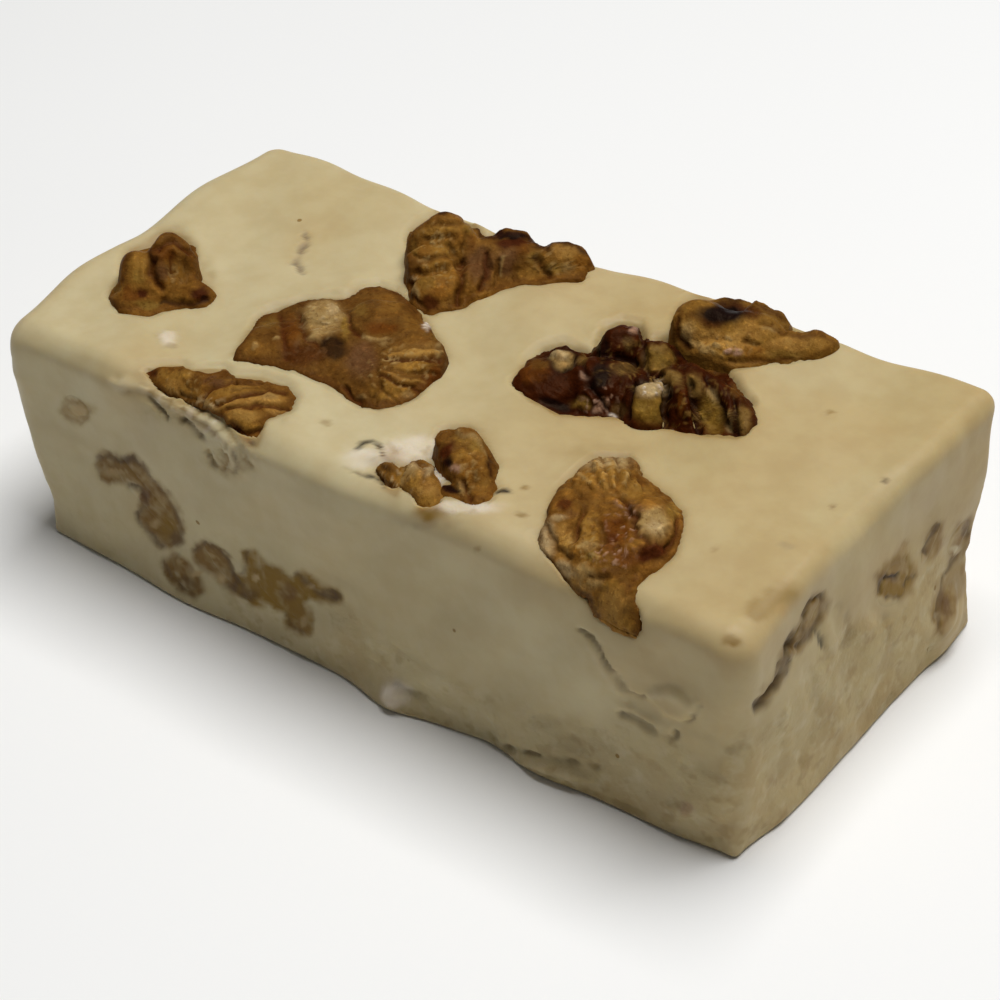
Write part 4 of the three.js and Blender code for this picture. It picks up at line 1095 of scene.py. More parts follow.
def rounded_slab(cube):
    """Points of the cube carried to the slab's box, then to a round of its edges: the offset from a core
    box that is smaller by the round is set to the round's length."""
    share = 0.5 + 0.5 * np.sin(cube * SLAB_CROWDING) / np.sin(SLAB_CROWDING)
    point = LOW + share * (HIGH - LOW)
    x, y, z = point[:, :1], point[:, 1:2], point[:, 2:]
    tray = smooth((LEFT + TRAY_REACH - x) / TRAY_REACH)
    soft = smooth((FRONT + TRAY_REACH - y) / TRAY_REACH) * smooth((z - TOP + FRONT_DEPTH) / FRONT_DEPTH)
    soft = soft * (FRONT_SHARE + (1 - FRONT_SHARE) * smooth((RIGHT - FRONT_CRISP - x) / TRAY_REACH))
    corner = smooth((x - RIGHT) / CORNER_REACH + 1) * smooth((FRONT - y) / CORNER_REACH + 1)
    side = CUT_EDGE + np.maximum((TRAY_EDGE - CUT_EDGE) * tray, (FRONT_EDGE - CUT_EDGE) * soft)
    side = np.maximum(side, CUT_EDGE + (CORNER_EDGE - CUT_EDGE) * corner)
    edge = BASE_EDGE + (side - BASE_EDGE) * smooth(z / BASE_REACH)
    core = np.clip(point, LOW + edge, HIGH - edge)
    out = point - core
    length = np.linalg.norm(out, axis=1, keepdims=True)
    return core + out * edge / np.maximum(length, TINY)


def slumped(point):
    """The slab's own slump: bells push it sideways, sines ripple its faces, and bells hollow and raise
    its top."""
    moved = point.copy()
    for at, reach, push in SWELLS:
        moved += bell(point, at, reach)[:, None] * np.array(push)
    ripple = sum(size * np.sin(point @ np.array(wave) + phase) for size, wave, phase in RIPPLES)
    lifted = smooth(point[:, 2] / FOOT_RISE)
    moved[:, 0] += ripple * lifted * (point[:, 0] / RIGHT) ** FACE_POWER
    moved[:, 1] += ripple * lifted * (point[:, 1] / BACK) ** FACE_POWER
    relief = sum(rise * bell(point[:, :2], at, reach) for at, reach, rise in TOP_RELIEF)
    moved[:, 2] += (relief + ripple) * smooth((point[:, 2] - TOP + TOP_REACH) / TOP_REACH)
    return moved


def in_lobe(plan, lobe):
    """Plan points in a lobe's own axes, as shares of its half length and half width."""
    return turned(plan, -np.radians(lobe[6])) / np.array(lobe[3:5])


def leaves(angle, lobes):
    """How far from a walnut's middle a ray at each angle leaves the lobes: the furthest crossing of an
    ellipse."""
    ray = np.stack([np.cos(angle), np.sin(angle)], -1)
    furthest = np.zeros_like(angle)
    for lobe in lobes:
        along = in_lobe(ray, lobe)
        middle = in_lobe(np.array(lobe[:2], float), lobe)
        length = (along**2).sum(-1)
        spare = length - (along[..., 0] * middle[1] - along[..., 1] * middle[0]) ** 2
        crossing = (along @ middle + np.sqrt(np.maximum(spare, 0))) / length
        furthest = np.maximum(furthest, np.where(spare > 0, crossing, 0))
    return furthest


def slid(values, span, take):
    """A ring of values with each taken together with those within a span on either side."""
    return take([np.roll(values, step) for step in range(-span, span + 1)], axis=0)


def outline(angle, lobes):
    """A walnut's outline at each angle: where its lobes end, with narrow notches closed by a sliding
    greatest value and a sliding least one, evened out over the angles near by."""
    ring = np.radians(np.arange(-180, 180))
    closed = slid(slid(leaves(ring, lobes), NOTCH, np.max), NOTCH, np.min)
    return np.interp(angle, ring, slid(closed, SMEAR, np.mean), period=2 * np.pi)


def crown(plan, lobes, web, soft):
    """How high a walnut stands over plan points: domed lobes and the web between them, run together as
    the log of a sum of exponentials."""
    total = np.exp(web / soft)
    for lobe in lobes:
        out = (in_lobe(plan - np.array(lobe[:2]), lobe) ** 2).sum(-1)
        dome = np.where(out < 1, np.maximum(1 - out, 0) ** DOME_POWER, 1 - out)
        total = total + np.exp(np.maximum(lobe[2] + lobe[5] * dome, LOBE_FLOOR) / soft)
    return soft * np.log(total) - CROWN_DROP * soft


def fallen(inside):
    """How far a walnut falls outside the outline that shows: in proportion to the pixels, after a gentle
    start."""
    outside = np.maximum(-inside, 0)
    return FALL * outside * smooth(outside / FALL_START)


def skin_height(walnut, spot):
    """A walnut's skin over plan points of the slab: the crown over the web, bent down near the long face,
    and falling away outside the outline that shows. Also how far inside the outline it shows there, in
    pixels, and the waist."""
    plan = turned(spot - np.array(walnut["at"]), -SET)
    level = np.column_stack([spot, np.zeros(len(spot))])
    web = walnut["web"] + slumped(level + (0, 0, TOP))[:, 2] - TOP
    near = np.clip(1 - (spot[:, 1] - FRONT) / EDGE_REACH, 0, 1)
    height = crown(plan + drift(level, "sway"), walnut["lobes"], web, walnut["soft"])
    height = height - EDGE_BEND * EDGE_REACH * sum(near**power for power in EDGE_POWERS)
    shown = shown_at(level + np.column_stack([0 * spot, TOP + height])) + drift(level, "ragged edge")
    inside = inside_outline(shown, walnut["outline"])
    waist = WAIST - EDGE_WAIST * smooth(EDGE_GAIN * near)
    return np.maximum(height - fallen(inside), waist), inside, waist


def round_walnuts(points, facing):
    """How far the fudge moves round the walnuts, up on the poured top and in on the long face. Beside a
    walnut it is drawn towards the skin and lips a little, unevenly, and inside the outline it steps down
    under the skin."""
    rise = np.zeros(len(points))
    inward = np.zeros(len(points))
    poured = ramp(facing[:, 2], *POURED)
    pixels = shown_at(points) + drift(points, "ragged edge")
    for number, walnut in enumerate(WALNUTS.values()):
        height, inside, _ = skin_height(walnut, points[:, :2])
        outside = np.maximum(-inside, 0)
        over = TOP + height + fallen(inside) - points[:, 2]
        lip = np.clip(over - LIP_SINK, LIP_LEAST, LIP_MOST) * (LIP_EVEN + cloud(points, "lip", number))
        lip = (lip + walnut["lip"]) * np.exp(-((outside / LIP_REACH) ** 2))
        lip *= ramp(points[:, 1] - FRONT, LIP_CLEAR, EDGE_REACH)
        under = ramp(inside, *STEP_DOWN) * np.maximum(lip - over + UNDER, 0)
        rise += poured * (lip - under)
        shown = inside_outline(pixels, walnut["outline"])
        behind = ramp(shown, *STEP_IN) * (1 - poured) * ramp(-facing[:, 1], *FRONTWARD)
        inward += STEP_BACK * behind * ramp(points[:, 2], TOP - walnut["depth"], STEP_FADE)
    return rise, inward


def in_cut_nuts(points, facing, edge):
    """How far each point of a face lies inside a cut nut there, from 0 at a share of its outline to 1
    further in."""
    inside = np.zeros(len(points))
    for nut in CUT_NUTS.values():
        out, _, axes = FACES[nut["face"]]
        plan = turned(points[:, axes] - np.array(nut["at"]), -np.radians(nut["turn"])) / np.array(nut["half"])
        share = np.linalg.norm(plan, axis=1)
        inside = np.maximum(inside, smooth((edge - share) / NUT_FADE) * (facing @ out > NUT_FACING))
    return inside


def crumbling(points, facing):
    """How crumbly the fudge is, from 0 to 1: on the sides below an uneven height that each has of its
    own, less where the long face is smeared, and in places beside the walnuts. Cut nuts aren't
    crumbly."""
    height = sum(high * np.clip(facing @ np.array(out), 0, 1) for out, high in CRUMB_HEIGHTS)
    height = height + cloud(points, "crumbly height") + cloud(points, "fine crumbly height")
    smeared = ramp(-points[:, 0], *SMEARED) * np.clip(-facing[:, 1], 0, 1)
    upright = 1 - smooth(np.abs(facing[:, 2]) / CRUMB_TURN)
    crumb = smooth((height - points[:, 2]) / CRUMB_FADE) * (1 - CRUMB_SMEARED * smeared) * upright
    seen = shown_side(facing)
    pixels = shown_at(points)
    for place in CRUMBLED:
        crumb = np.maximum(crumb, seen * patch_share(pixels, *place))
    return crumb * (1 - in_cut_nuts(points, facing, NUT_SMOOTH))


def line_shares(points, pixels):
    """How far points lie on each line in turn, from 0 to 1: a bell across it of an uneven width, broken
    up by clouds."""
    uneven = LINE_WIDTH + cloud(points, "line width")
    shows = smooth(LINE_SHOWS + cloud(points, "line break"))
    for _, _, _, width, *path in LINES:
        yield np.exp(-((path_distance(pixels, path) / (width * uneven)) ** 2)) * shows


def scored(points, facing):
    """Relief of the lines, which are grooves, and of the bumps, on sides that the photograph shows."""
    pixels = wandered(points)
    relief = np.zeros(len(points))
    for (_, _, depth, *_), share in zip(LINES, line_shares(points, pixels)):
        relief -= depth * share
    for height, *place in BUMPS:
        relief += height * patch_share(pixels, *place)
    return relief * shown_side(facing)


def fudge_relief(points, facing, crumb):
    """Relief along the outward direction: slow clouds all over, grains, pits and flakes where it
    crumbles, the drag of the knife, which is clouds stretched along its stroke, and what is scored into
    it."""
    relief = cloud(points, "swell") + cloud(points, "dimple")
    grains = cloud(points, "lump") + cloud(points, "crumb")
    flakes = FLAKE_HEIGHT * ramp(cloud(points * FLAKE_SHAPE, "flake"), *FLAKE_EDGE)
    pits = PIT_DEPTH * ramp(cloud(points, "pit"), *PIT_EDGE)
    relief += crumb * (grains + flakes - pits)
    relief += ramp(facing[:, 0], *SQUARE_ON) * cloud(points * END_STROKE, "end drag")
    relief += ramp(-facing[:, 1], *SQUARE_ON) * cloud(points * FRONT_STROKE, "front drag")
    return (relief + scored(points, facing)) * smooth(points[:, 2] / RELIEF_RISE)


def stained(colour, points, seen):
    """Colours with the patches, the cut nuts and the lines laid on, and how nutty it is from 0 to 1: a
    nut's stain fades across its outline, and clouds break it."""
    pixels = wandered(points)
    uneven = PATCH_LEVEL + cloud(points, "patch")
    for name, amount, *place in FUDGE_TINTS:
        colour = laid_on(colour, name, amount * uneven * seen * patch_share(pixels, *place))
    nutty = np.zeros(len(points))
    broken = seen * (STAIN_LEVEL + cloud(points, "stain") + cloud(points, "fine stain"))
    start = STAIN_START + cloud(points, "stain edge")
    for nut in CUT_NUTS.values():
        share = smooth((inside_outline(pixels, nut["outline"]) + start) / STAIN_SPAN)
        nutty = np.maximum(nutty, seen * share)
        colour = laid_on(colour, nut["tint"], nut["strength"] * broken * share)
        for name, strength, *place in nut["patches"]:
            colour = laid_on(colour, name, strength * broken * patch_share(pixels, *place))
    for (name, strength, *_), share in zip(LINES, line_shares(points, pixels)):
        colour = laid_on(colour, name, strength * seen * share)
    return colour, nutty


def fudge_colour(points, facing, crumb):
    """Colours of the fudge: cream with butter and tan clouds, paler and duller where it crumbles, stained and
    darkened by painted contact shade round the walnuts, and marked by what is drawn on it, painted shade and
    highlights among it. Also how nutty it is."""
    x, y = points[:, 0] / RIGHT, points[:, 1] / BACK
    colour = np.tile(paint("cream"), (len(points), 1))
    colour = laid_on(colour, "butter", YELLOW + YELLOW_RIGHT * x + YELLOW_BACK * y + cloud(points, "butter"))
    colour = laid_on(colour, "tan", TAN_PAINT * smooth((cloud(points, "tan") + TAN_RIGHT * x) / TAN_SPAN))
    for name in ("pale", "smudge"):
        colour = laid_on(colour, name, CRUMB_PAINT * crumb * smooth(cloud(points, name) / CRUMB_SPAN))
    seen = shown_side(facing)
    pixels = shown_at(points)
    # Toffee round each walnut: stain, and partly painted contact shade.
    for walnut in WALNUTS.values():
        outside = np.maximum(-inside_outline(pixels, walnut["outline"]), 0)
        stain = sum(strength * np.exp(-((outside / reach) ** 2)) for strength, reach in WALNUT_STAINS_AND_SHADE)
        colour = laid_on(colour, "toffee", seen * stain)
    return stained(colour, points, seen)


def fudge_surface():
    """The fudge: the slumped slab, with its relief laid along its outward directions, moved up and back
    round the walnuts and sunk behind the cut nuts. Gives its points, the squares of its sides and of its
    flat base, its colours and how grainy it is."""
    cube, faces = skin_of_cube(SLAB_STEPS)
    points = slumped(rounded_slab(cube))
    facing = normals_of(points, faces)
    crumb = crumbling(points, facing)
    colour, nutty = fudge_colour(points, facing, crumb)
    rise, inward = round_walnuts(points, facing)
    inward += NUT_SUNK * in_cut_nuts(points, facing, NUT_BEHIND)
    moved = points + facing * (fudge_relief(points, facing, crumb) - inward)[:, None]
    moved[:, 2] += rise
    flat = (points[faces][:, :, 2] < BASE_FLAT).all(1)
    return moved, faces[~flat], faces[flat], colour, np.maximum(crumb, NUT_GRAIN * nutty)


def walnut_form(walnut):
    """A walnut without its fine relief: on a ball's grid, the outline and skirt times the share of the
    way out give the plan, the skin over the plan gives the height above the waist, and a bowl goes below
    it. Where it passes the long face it is cut flush, outside the outline that shows it goes behind the
    fudge there, and at the back it stays inside the slab. Gives its points and squares, how far it is
    cut, and the pixels that show it."""
    widest = 2 * LAP * leaves(np.radians(np.arange(360)), walnut["lobes"]).max()
    across = int(np.clip(widest / WALNUT_STEP, WALNUT_LEAST, WALNUT_MOST))
    ball, faces, share = ball_grid((across, across, WALNUT_SIDE))
    angle = np.arctan2(ball[:, 1], ball[:, 0])
    reach = (LAP * outline(angle, walnut["lobes"]) + SKIRT) * share
    plan = reach[:, None] * np.stack([np.cos(angle), np.sin(angle)], -1)
    spot = turned(plan, SET) + np.array(walnut["at"])
    skin, _, waist = skin_height(walnut, spot)
    above = (skin - waist) * smooth((1 - share) / RIM_SHARE)
    below = (walnut["depth"] + waist) * ball[:, 2]
    points = np.column_stack([spot, TOP + waist + np.where(ball[:, 2] > 0, above, below)])
    face = slumped(points * (1, 0, 1) + (0, FRONT, 0))[:, 1]
    cut = smooth((face - points[:, 1]) / CUT_SOFT)
    points[:, 1] = np.maximum(points[:, 1], face - FLUSH)
    pixels = wandered(points) + drift(points, "ragged edge")
    beside = smooth((face + BESIDE - points[:, 1]) / BESIDE)
    points[:, 1] += beside * np.minimum(fallen(inside_outline(pixels, walnut["outline"])), BESIDE_MOST)
    back = slumped(points * (1, 0, 1) + (0, BACK, 0))[:, 1]
    points[:, 1] = np.minimum(points[:, 1], back - BACK_COVER + BACK_BARE * smooth(skin - waist))
    return points, faces, cut, pixels


def wrinkles(points):
    """Fine relief of walnut skin, from about -1 to 1: folded clouds and two finer plain layers."""
    return creased(points, "wrinkle") + cloud(points, "fine wrinkle") + cloud(points, "pore")


def walnut_marks(walnut, points, pixels, seen):
    """Patches and flecks of a walnut as tints and how far points lie in them, and its strokes as tints,
    depths and how many half widths points lie from them. Flecks are the peaks of clouds."""
    patches = [(name, strength * seen * patch_share(pixels, *place))
               for name, strength, *place in walnut["patches"]]
    flecks = [(name, seen * ramp(cloud(points, "fleck", number), *FLECK_EDGE) * patch_share(pixels, *place))
              for number, (name, *place) in enumerate(walnut["flecks"])]
    strokes = [(name, depth, path_distance(pixels, line) / width)
               for name, depth, width, *line in walnut["strokes"]]
    return patches, flecks, strokes


def walnut_surface(walnut):
    """A walnut piece: its form, with folds, wrinkles, patches, flecks and strokes that move the skin
    along its outward directions. The marks fade on the far side. Gives its points, squares, colours and
    how far it is cut."""
    points, faces, cut, pixels = walnut_form(walnut)
    facing = normals_of(points, faces)
    seen = smooth((facing @ view_axes()[2] + FAR_SIDE) / FAR_SIDE)
    fine = wrinkles(points)
    marks = walnut_marks(walnut, points, pixels, seen)
    patches, flecks, strokes = marks
    relief = creased(points, "fold") + WRINKLE_HEIGHT * walnut["grain"] * fine
    broken = 1 + cloud(points, "broken flesh")
    for name, share in patches:
        relief += RAISED.get(name, 0) * share * broken
    for name, share in flecks:
        relief += RAISED.get(name, 0) * share
    for _, depth, away in strokes:
        bank = BANK_HEIGHT * np.exp(-((away - BANK_PLACE) ** 2))
        relief -= seen * depth * (1 - cut) * (np.exp(-(away**2)) - bank)
    # Painted shade along the rim, where the walnut meets the fudge.
    rim_shade = np.exp(-((inside_outline(pixels, walnut["outline"]) / RIM_SHADE_WIDTH) ** 2))
    colour = walnut_colour(walnut, points, seen, cut, fine, rim_shade, marks)
    return points + facing * relief[:, None], faces, colour, cut


def walnut_colour(walnut, points, seen, cut, fine, rim_shade, marks):
    """Colours of a walnut: its own tone, flesh where the knife cut it, its patches, strokes and flecks, some
    of them painted glints and painted shade, then painted shade in the lows of the wrinkles and painted
    highlights on their highs, and painted shade along the rim where it meets the fudge."""
    patches, flecks, strokes = marks
    colour = np.tile(paint(walnut["tone"]), (len(points), 1))
    colour = colour * (1 + cloud(points, "tone") + cloud(points, "fine tone"))[:, None]
    colour = laid_on(colour, "flesh", CUT_FLESH * cut * smooth(FLESH_LEVEL + cloud(points, "cut flesh")))
    for name, share in patches:
        colour = laid_on(colour, name, share)
    for name, _, away in strokes:
        colour = laid_on(colour, name, STROKE_PAINT * seen * np.exp(-(away**2)))
    for name, share in flecks:
        colour = laid_on(colour, name, FLECK_PAINT * share)
    # Painted shade in the lows of the wrinkles, and painted highlights on their highs.
    low = ramp(-fine, *SHADED_WRINKLE) * (WRINKLE_SHADE_LEAST + WRINKLE_SHADE_MORE * walnut["grain"])
    colour = colour * (1 - np.outer(low, WRINKLE_SHADE_CHANNELS))
    colour = colour * (1 + WRINKLE_HIGHLIGHT * walnut["grain"] * ramp(fine, *HIGHLIT_WRINKLE))[:, None]
    # Painted shade along the rim.
    return laid_on(colour, "maroon", RIM_SHADE_PAINT * rim_shade * (1 - cut))


def cut_nut_surface(nut, number):
    """A nut cut through in a face: on a ball's grid, an uneven ellipse gives the outline, the outer half
    has the fudge's own relief and paint and dips under the fudge at its edge, and the inner half is a
    bowl. Gives its points, squares, colours and how nutty it is."""
    ball, faces, share = ball_grid((CUT_STEPS,) * 3)
    level = ball * (1, 1, 0)
    uneven = CUT_LARGER + cloud(level, "nut outline", CUT_SEEDS * number)
    uneven = uneven + cloud(level, "fine nut outline", CUT_SEEDS * number)
    plan = ball[:, :2] * uneven[:, None] * np.array(nut["half"])
    out, far, axes = FACES[nut["face"]]
    flat = np.zeros_like(ball)
    flat[:, axes] = turned(plan, np.radians(nut["turn"])) + np.array(nut["at"])
    flat = slumped(flat + out * far)
    facing = np.tile(out, (len(flat), 1))
    relief = FLUSH + fudge_relief(flat, facing, 0 * share) - CUT_DIP * ramp(share, *DIP_EDGE)
    depth = np.where(ball[:, 2] > 0, relief, np.minimum(relief, CUT_DEPTH * ball[:, 2]))
    return flat + depth[:, None] * out, faces, *fudge_colour(flat, facing, 0 * share)


def make_piece(name, node, slot, points, faces, colour, grain, base=()):
    """A piece from arrays: a mesh with corners in metres, squares, a base of one face, smooth shading,
    its slot's material and the attributes that this reads. It rides on the body and replaces its node."""
    mesh = bpy.data.meshes.new(name)
    corners = np.concatenate([np.ravel(faces), np.ravel(base)]).astype(np.int32)
    counts = np.concatenate([np.full(len(faces), 4), np.full(min(1, len(base)), len(base))]).astype(np.int32)
    mesh.vertices.add(len(points))
    mesh.vertices.foreach_set("co", np.ravel((points + SHIFT) * METRES).astype(np.float32))
    mesh.loops.add(len(corners))
    mesh.loops.foreach_set("vertex_index", corners)
    mesh.polygons.add(len(counts))
    mesh.polygons.foreach_set("loop_start", np.concatenate([[0], np.cumsum(counts)[:-1]]).astype(np.int32))
    mesh.polygons.foreach_set("use_smooth", np.ones(len(counts), bool))
    tint = mesh.attributes.new("tint", "FLOAT_COLOR", "POINT")
    tint.data.foreach_set("color", np.column_stack([colour, np.ones(len(points))]).ravel().astype(np.float32))
    mesh.attributes.new("grain", "FLOAT", "POINT").data.foreach_set("value", grain.astype(np.float32))
    mesh.update(calc_edges=True)
    mesh.validate()
    mesh.materials.append(MATERIALS[slot])
    piece = bpy.data.objects.new(name, mesh)
    bpy.context.scene.collection.objects.link(piece)
    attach(piece, "root")
    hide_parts(node)


def base_ring(faces):
    """The outline of a flat patch of squares, in order: sides that only one square has, end to end."""
    sides = np.stack([faces, np.roll(faces, -1, axis=1)], -1).reshape(-1, 2)
    key = np.sort(sides, axis=1)
    _, index, count = np.unique(key, axis=0, return_index=True, return_counts=True)
    following = dict(sides[index[count == 1]].tolist())
    ring = [next(iter(following))]
    while following[ring[-1]] != ring[0]:
        ring.append(following[ring[-1]])
    return np.array(ring)


def without_loose(points, faces, base, *values):
    """The points that faces use, the faces and the base renumbered to them, and the values at them."""
    used = np.zeros(len(points), bool)
    used[faces] = True
    number = np.cumsum(used) - 1
    return points[used], number[faces], number[base], *(value[used] for value in values)


def new_material(name, **sockets):
    """A material with a Principled surface, its constants set on the surface's own sockets."""
    material = bpy.data.materials.new(name)
    material.use_nodes = True
    surface = material.node_tree.nodes["Principled BSDF"]
    for socket, value in sockets.items():
        surface.inputs[socket.replace("_", " ")].default_value = value
    return material, material.node_tree, surface


def add_node(tree, kind, settings=None, **inputs):
    """A node of a kind with its settings, and each input, by name or by number after an i, set to a value
    or linked from another node's output."""
    node = tree.nodes.new(kind)
    for key, value in (settings or {}).items():
        setattr(node, key, value)
    for key, value in inputs.items():
        socket = node.inputs[int(key[1:])] if key[1:].isdigit() else node.inputs[key.replace("_", " ")]
        if isinstance(value, bpy.types.NodeSocket):
            tree.links.new(value, socket)
        else:
            socket.default_value = value
    return node


def own_metres(tree):
    """Places on the object in its own metres."""
    return add_node(tree, "ShaderNodeTexCoord").outputs["Object"]


def noise(tree, where, scale, detail=3.0, rough=0.55):
    """Values of Noise about 0.5 on the object's own metres."""
    node = add_node(tree, "ShaderNodeTexNoise", Vector=where, Scale=scale, Detail=detail, Roughness=rough)
    return node.outputs["Fac"]


def between(tree, value, low, high, out_low=0.0, out_high=1.0):
    """A value carried from one range to another by a smoothstep, held at its ends."""
    settings = {"interpolation_type": "SMOOTHSTEP"}
    return add_node(tree, "ShaderNodeMapRange", settings, Value=value, From_Min=low, From_Max=high,
                    To_Min=out_low, To_Max=out_high).outputs["Result"]


def reckoned(tree, operation, *values):
    """Values added, multiplied, or multiplied with a third added."""
    inputs = {f"i{number}": value for number, value in enumerate(values)}
    return add_node(tree, "ShaderNodeMath", {"operation": operation}, **inputs).outputs[0]


def mixed(tree, share, first, second, blend="MIX"):
    """Two colours mixed by a share, through the sockets of Mix for colours: 6 and 7 in, and 2 out."""
    settings = {"data_type": "RGBA", "blend_type": blend, "clamp_factor": True}
    return add_node(tree, "ShaderNodeMix", settings, i0=share, i6=first, i7=second).outputs[2]


def shaded(tree, tint, channels):
    """A tint with each of its channels multiplied."""
    return mixed(tree, 1.0, tint, (*channels, 1), "MULTIPLY")


def attribute(tree, name, output):
    """A piece's own attribute."""
    return add_node(tree, "ShaderNodeAttribute", {"attribute_name": name}).outputs[output]


def bumped(tree, surface, height, strength, distance):
    """Fine relief on a surface, a distance in metres deep."""
    bump = add_node(tree, "ShaderNodeBump", Height=height, Strength=strength, Distance=distance)
    tree.links.new(bump.outputs["Normal"], surface.inputs["Normal"])


def fudge_material(name):
    """Waxy fudge that lets light in: fine mottling, pale flecks and brown pits where it is grainy, tiny
    brown specks all over, and a surface that is rougher and more uneven with its grain."""
    material, tree, surface = new_material(
        name, Subsurface_Weight=0.35, Subsurface_Radius=(1.0, 0.62, 0.3), Subsurface_Scale=0.002,
        Specular_IOR_Level=0.25, IOR=1.45)
    where = own_metres(tree)
    tint = attribute(tree, "tint", "Color")
    grain = attribute(tree, "grain", "Fac")
    mottle = between(tree, noise(tree, where, scale=240), low=0.3, high=0.7)
    colour = mixed(tree, mottle, tint, shaded(tree, tint, FUDGE_MOTTLE))
    fleck = between(tree, noise(tree, where, scale=420, detail=2), low=0.5, high=0.72, out_high=0.4)
    colour = mixed(tree, reckoned(tree, "MULTIPLY", grain, fleck), colour, (*paint("pale"), 1))
    pit = between(tree, noise(tree, where, scale=360, detail=2), low=0.46, high=0.3, out_high=0.35)
    colour = mixed(tree, reckoned(tree, "MULTIPLY", grain, pit), colour, (*paint("toffee"), 1))
    cells = add_node(tree, "ShaderNodeTexVoronoi", Vector=where, Scale=130.0).outputs["Distance"]
    thinned = between(tree, noise(tree, where, scale=60), low=0.5, high=0.56)
    speck = reckoned(tree, "MULTIPLY", between(tree, cells, low=0.055, high=0.035), thinned)
    colour = mixed(tree, speck, colour, (*paint("toffee"), 1))
    tree.links.new(colour, surface.inputs["Base Color"])
    rough = between(tree, noise(tree, where, scale=90), low=0.3, high=0.7, out_low=0.42, out_high=0.56)
    tree.links.new(reckoned(tree, "MULTIPLY_ADD", grain, GRAIN_ROUGH, rough), surface.inputs["Roughness"])
    height = reckoned(tree, "MULTIPLY_ADD", grain, GRAIN_HEIGHT, PLAIN_HEIGHT)
    fine = reckoned(tree, "MULTIPLY", noise(tree, where, scale=900, detail=4), height)
    bumped(tree, surface, fine, strength=0.6, distance=0.0004)
    return material


def walnut_material(name, roughness):
    """Walnut skin: tints of its own, fine streaks, veins and mottling, and a warm dull gloss."""
    material, tree, surface = new_material(
        name, Subsurface_Weight=0.06, Subsurface_Radius=(1.0, 0.5, 0.2), Subsurface_Scale=0.001,
        Specular_IOR_Level=0.06, Specular_Tint=(1.0, 0.72, 0.42, 1))
    where = own_metres(tree)
    tint = attribute(tree, "tint", "Color")
    streak = noise(tree, where, scale=620, detail=4, rough=0.6)
    streaked = between(tree, streak, low=0.42, high=0.62)
    colour = mixed(tree, streaked, shaded(tree, tint, SKIN_STREAK), tint)
    vein = add_node(tree, "ShaderNodeTexVoronoi", {"feature": "DISTANCE_TO_EDGE"}, Vector=where, Scale=420.0)
    line = between(tree, vein.outputs["Distance"], low=0.0, high=0.09, out_low=0.15, out_high=0.0)
    colour = mixed(tree, line, colour, shaded(tree, tint, SKIN_VEIN))
    mottle = noise(tree, where, scale=1500, detail=3, rough=0.7)
    pale = between(tree, mottle, low=0.55, high=0.68, out_high=0.6)
    colour = mixed(tree, pale, colour, shaded(tree, tint, SKIN_PALE))
    dark = between(tree, mottle, low=0.45, high=0.33, out_high=0.65)
    colour = mixed(tree, dark, colour, shaded(tree, tint, SKIN_DARK))
    tree.links.new(colour, surface.inputs["Base Color"])
    gloss = between(tree, noise(tree, where, scale=260), low=0.35, high=0.65, out_low=roughness,
                    out_high=roughness + SKIN_DULLER)
    tree.links.new(gloss, surface.inputs["Roughness"])
    bumped(tree, surface, reckoned(tree, "ADD", streak, mottle), strength=0.5, distance=0.0003)
    return material


def placed(right, up, back, place):
    """A Blender matrix from three directions and a place in metres."""
    matrix = Matrix.Identity(4)
    for row in range(3):
        matrix[row][:] = (right[row], up[row], back[row], place[row])
    return matrix


def add_light():
    """A square soft light over the slab that faces it."""
    lamp = bpy.data.lights.new("overhead", "AREA")
    lamp.shape = "SQUARE"
    lamp.size = LIGHT_SIZE
    lamp.energy = LIGHT_POWER
    light = bpy.data.objects.new("overhead", lamp)
    back = LIGHT_PLACE - LIGHT_AIM
    back /= np.linalg.norm(back)
    right = np.cross((0, 1, 0), back)
    right /= np.linalg.norm(right)
    light.matrix_world = placed(right, np.cross(back, right), back, LIGHT_PLACE)
    bpy.context.scene.collection.objects.link(light)


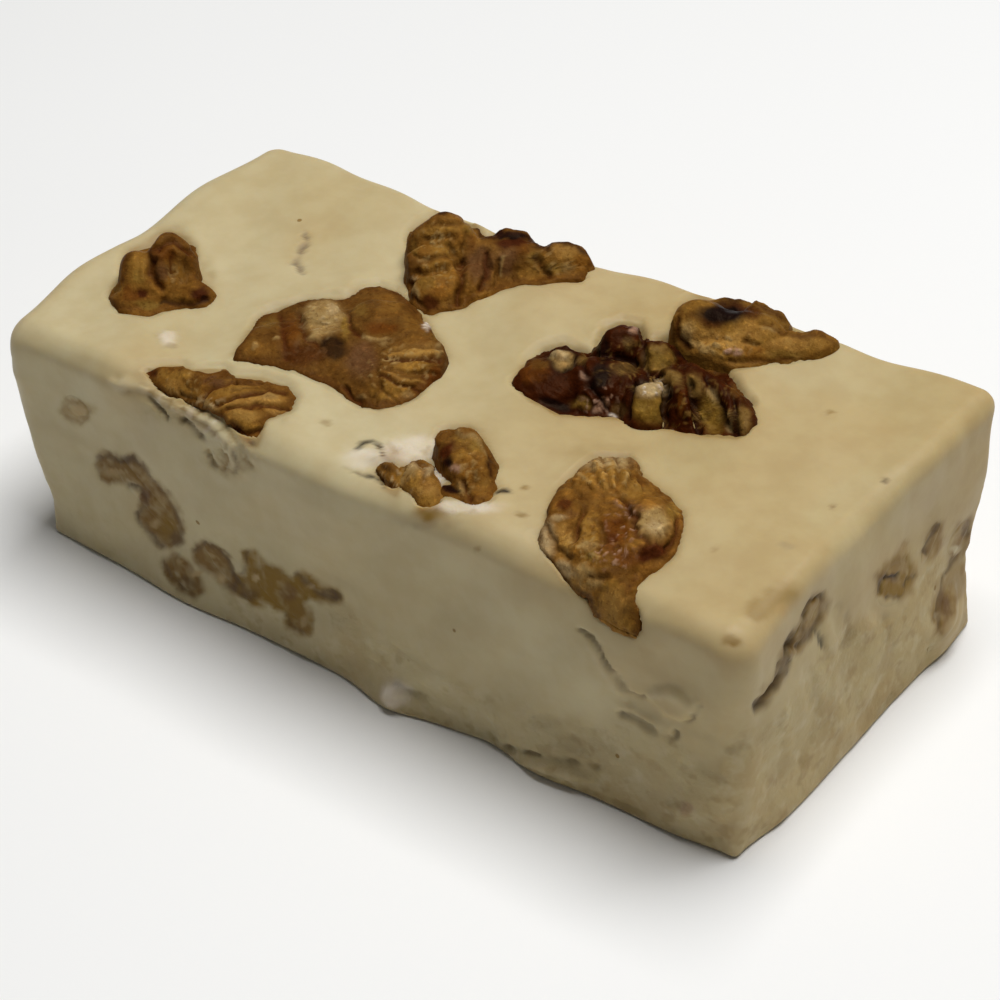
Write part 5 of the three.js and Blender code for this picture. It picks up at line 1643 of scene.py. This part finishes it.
def add_stage():
    """A pale floor under the slab, a soft light over it and a weak even light all round."""
    mesh = bpy.data.meshes.new("floor")
    corners = [(-FLOOR_REACH, -FLOOR_REACH, 0), (FLOOR_REACH, -FLOOR_REACH, 0), (FLOOR_REACH, FLOOR_REACH, 0),
               (-FLOOR_REACH, FLOOR_REACH, 0)]
    mesh.from_pydata(corners, [], [(0, 1, 2, 3)])
    material, tree, surface = new_material("floor", Roughness=0.7, Specular_IOR_Level=0.2)
    shade = between(tree, noise(tree, own_metres(tree), scale=3), low=0.3, high=0.7)
    tree.links.new(mixed(tree, shade, *FLOOR_TINTS), surface.inputs["Base Color"])
    mesh.materials.append(material)
    floor = bpy.data.objects.new("floor", mesh)
    bpy.context.scene.collection.objects.link(floor)
    world = bpy.data.worlds.new("studio")
    world.use_nodes = True
    world.node_tree.nodes["Background"].inputs["Color"].default_value = STUDIO_TINT
    world.node_tree.nodes["Background"].inputs["Strength"].default_value = STUDIO_STRENGTH
    bpy.context.scene.world = world
    bpy.context.scene.view_settings.view_transform = "Standard"
    add_light()


def add_camera():
    """The photograph's view."""
    lens = bpy.data.cameras.new("photo_view")
    lens.lens = LENS
    lens.sensor_width = SENSOR
    lens.sensor_fit = "HORIZONTAL"
    lens.clip_start = NEAREST
    camera = bpy.data.objects.new("photo_view", lens)
    right, up, back = view_axes()
    camera.matrix_world = placed(right, up, back, (VIEW_MIDDLE + VIEW_DISTANCE * back) * METRES)
    bpy.context.scene.collection.objects.link(camera)
    bpy.context.scene.camera = camera


def shift_to_row():
    """From the slab's own millimetres to the row's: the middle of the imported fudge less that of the
    slumped slab."""
    slab = slumped(rounded_slab(skin_of_cube(COARSE_STEPS)[0]))
    low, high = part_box("fudge_block")
    packed = (np.array(low) + np.array(high)) / 2 / METRES
    own = (slab.min(0) + slab.max(0)) / 2
    return (packed - own) * (1, 1, 0)


SHIFT = shift_to_row()
add_camera()
add_stage()
MATERIALS = {
    "fudge": fudge_material("fudge"),
    "walnut_skin": walnut_material("walnut_skin", roughness=0.44),
    "walnut_dark_skin": walnut_material("walnut_dark_skin", roughness=0.36),
    "walnut_flesh": fudge_material("walnut_flesh"),
}

points, faces, flat, colour, crumb = fudge_surface()
points, faces, ring, colour, crumb = without_loose(points, faces, base_ring(flat), colour, crumb)
make_piece("fudge_slab", "fudge_block", "fudge", points, faces, colour, crumb, ring)

for name, walnut in WALNUTS.items():
    slot = walnut.get("slot", "walnut_skin")
    points, faces, colour, cut = walnut_surface(walnut)
    make_piece(name + "_kernel", name, slot, points, faces, colour, cut)

for number, (name, nut) in enumerate(CUT_NUTS.items()):
    points, faces, colour, nutty = cut_nut_surface(nut, number)
    make_piece(name + "_cut", name, "walnut_flesh", points, faces, colour, NUT_GRAIN * nutty)
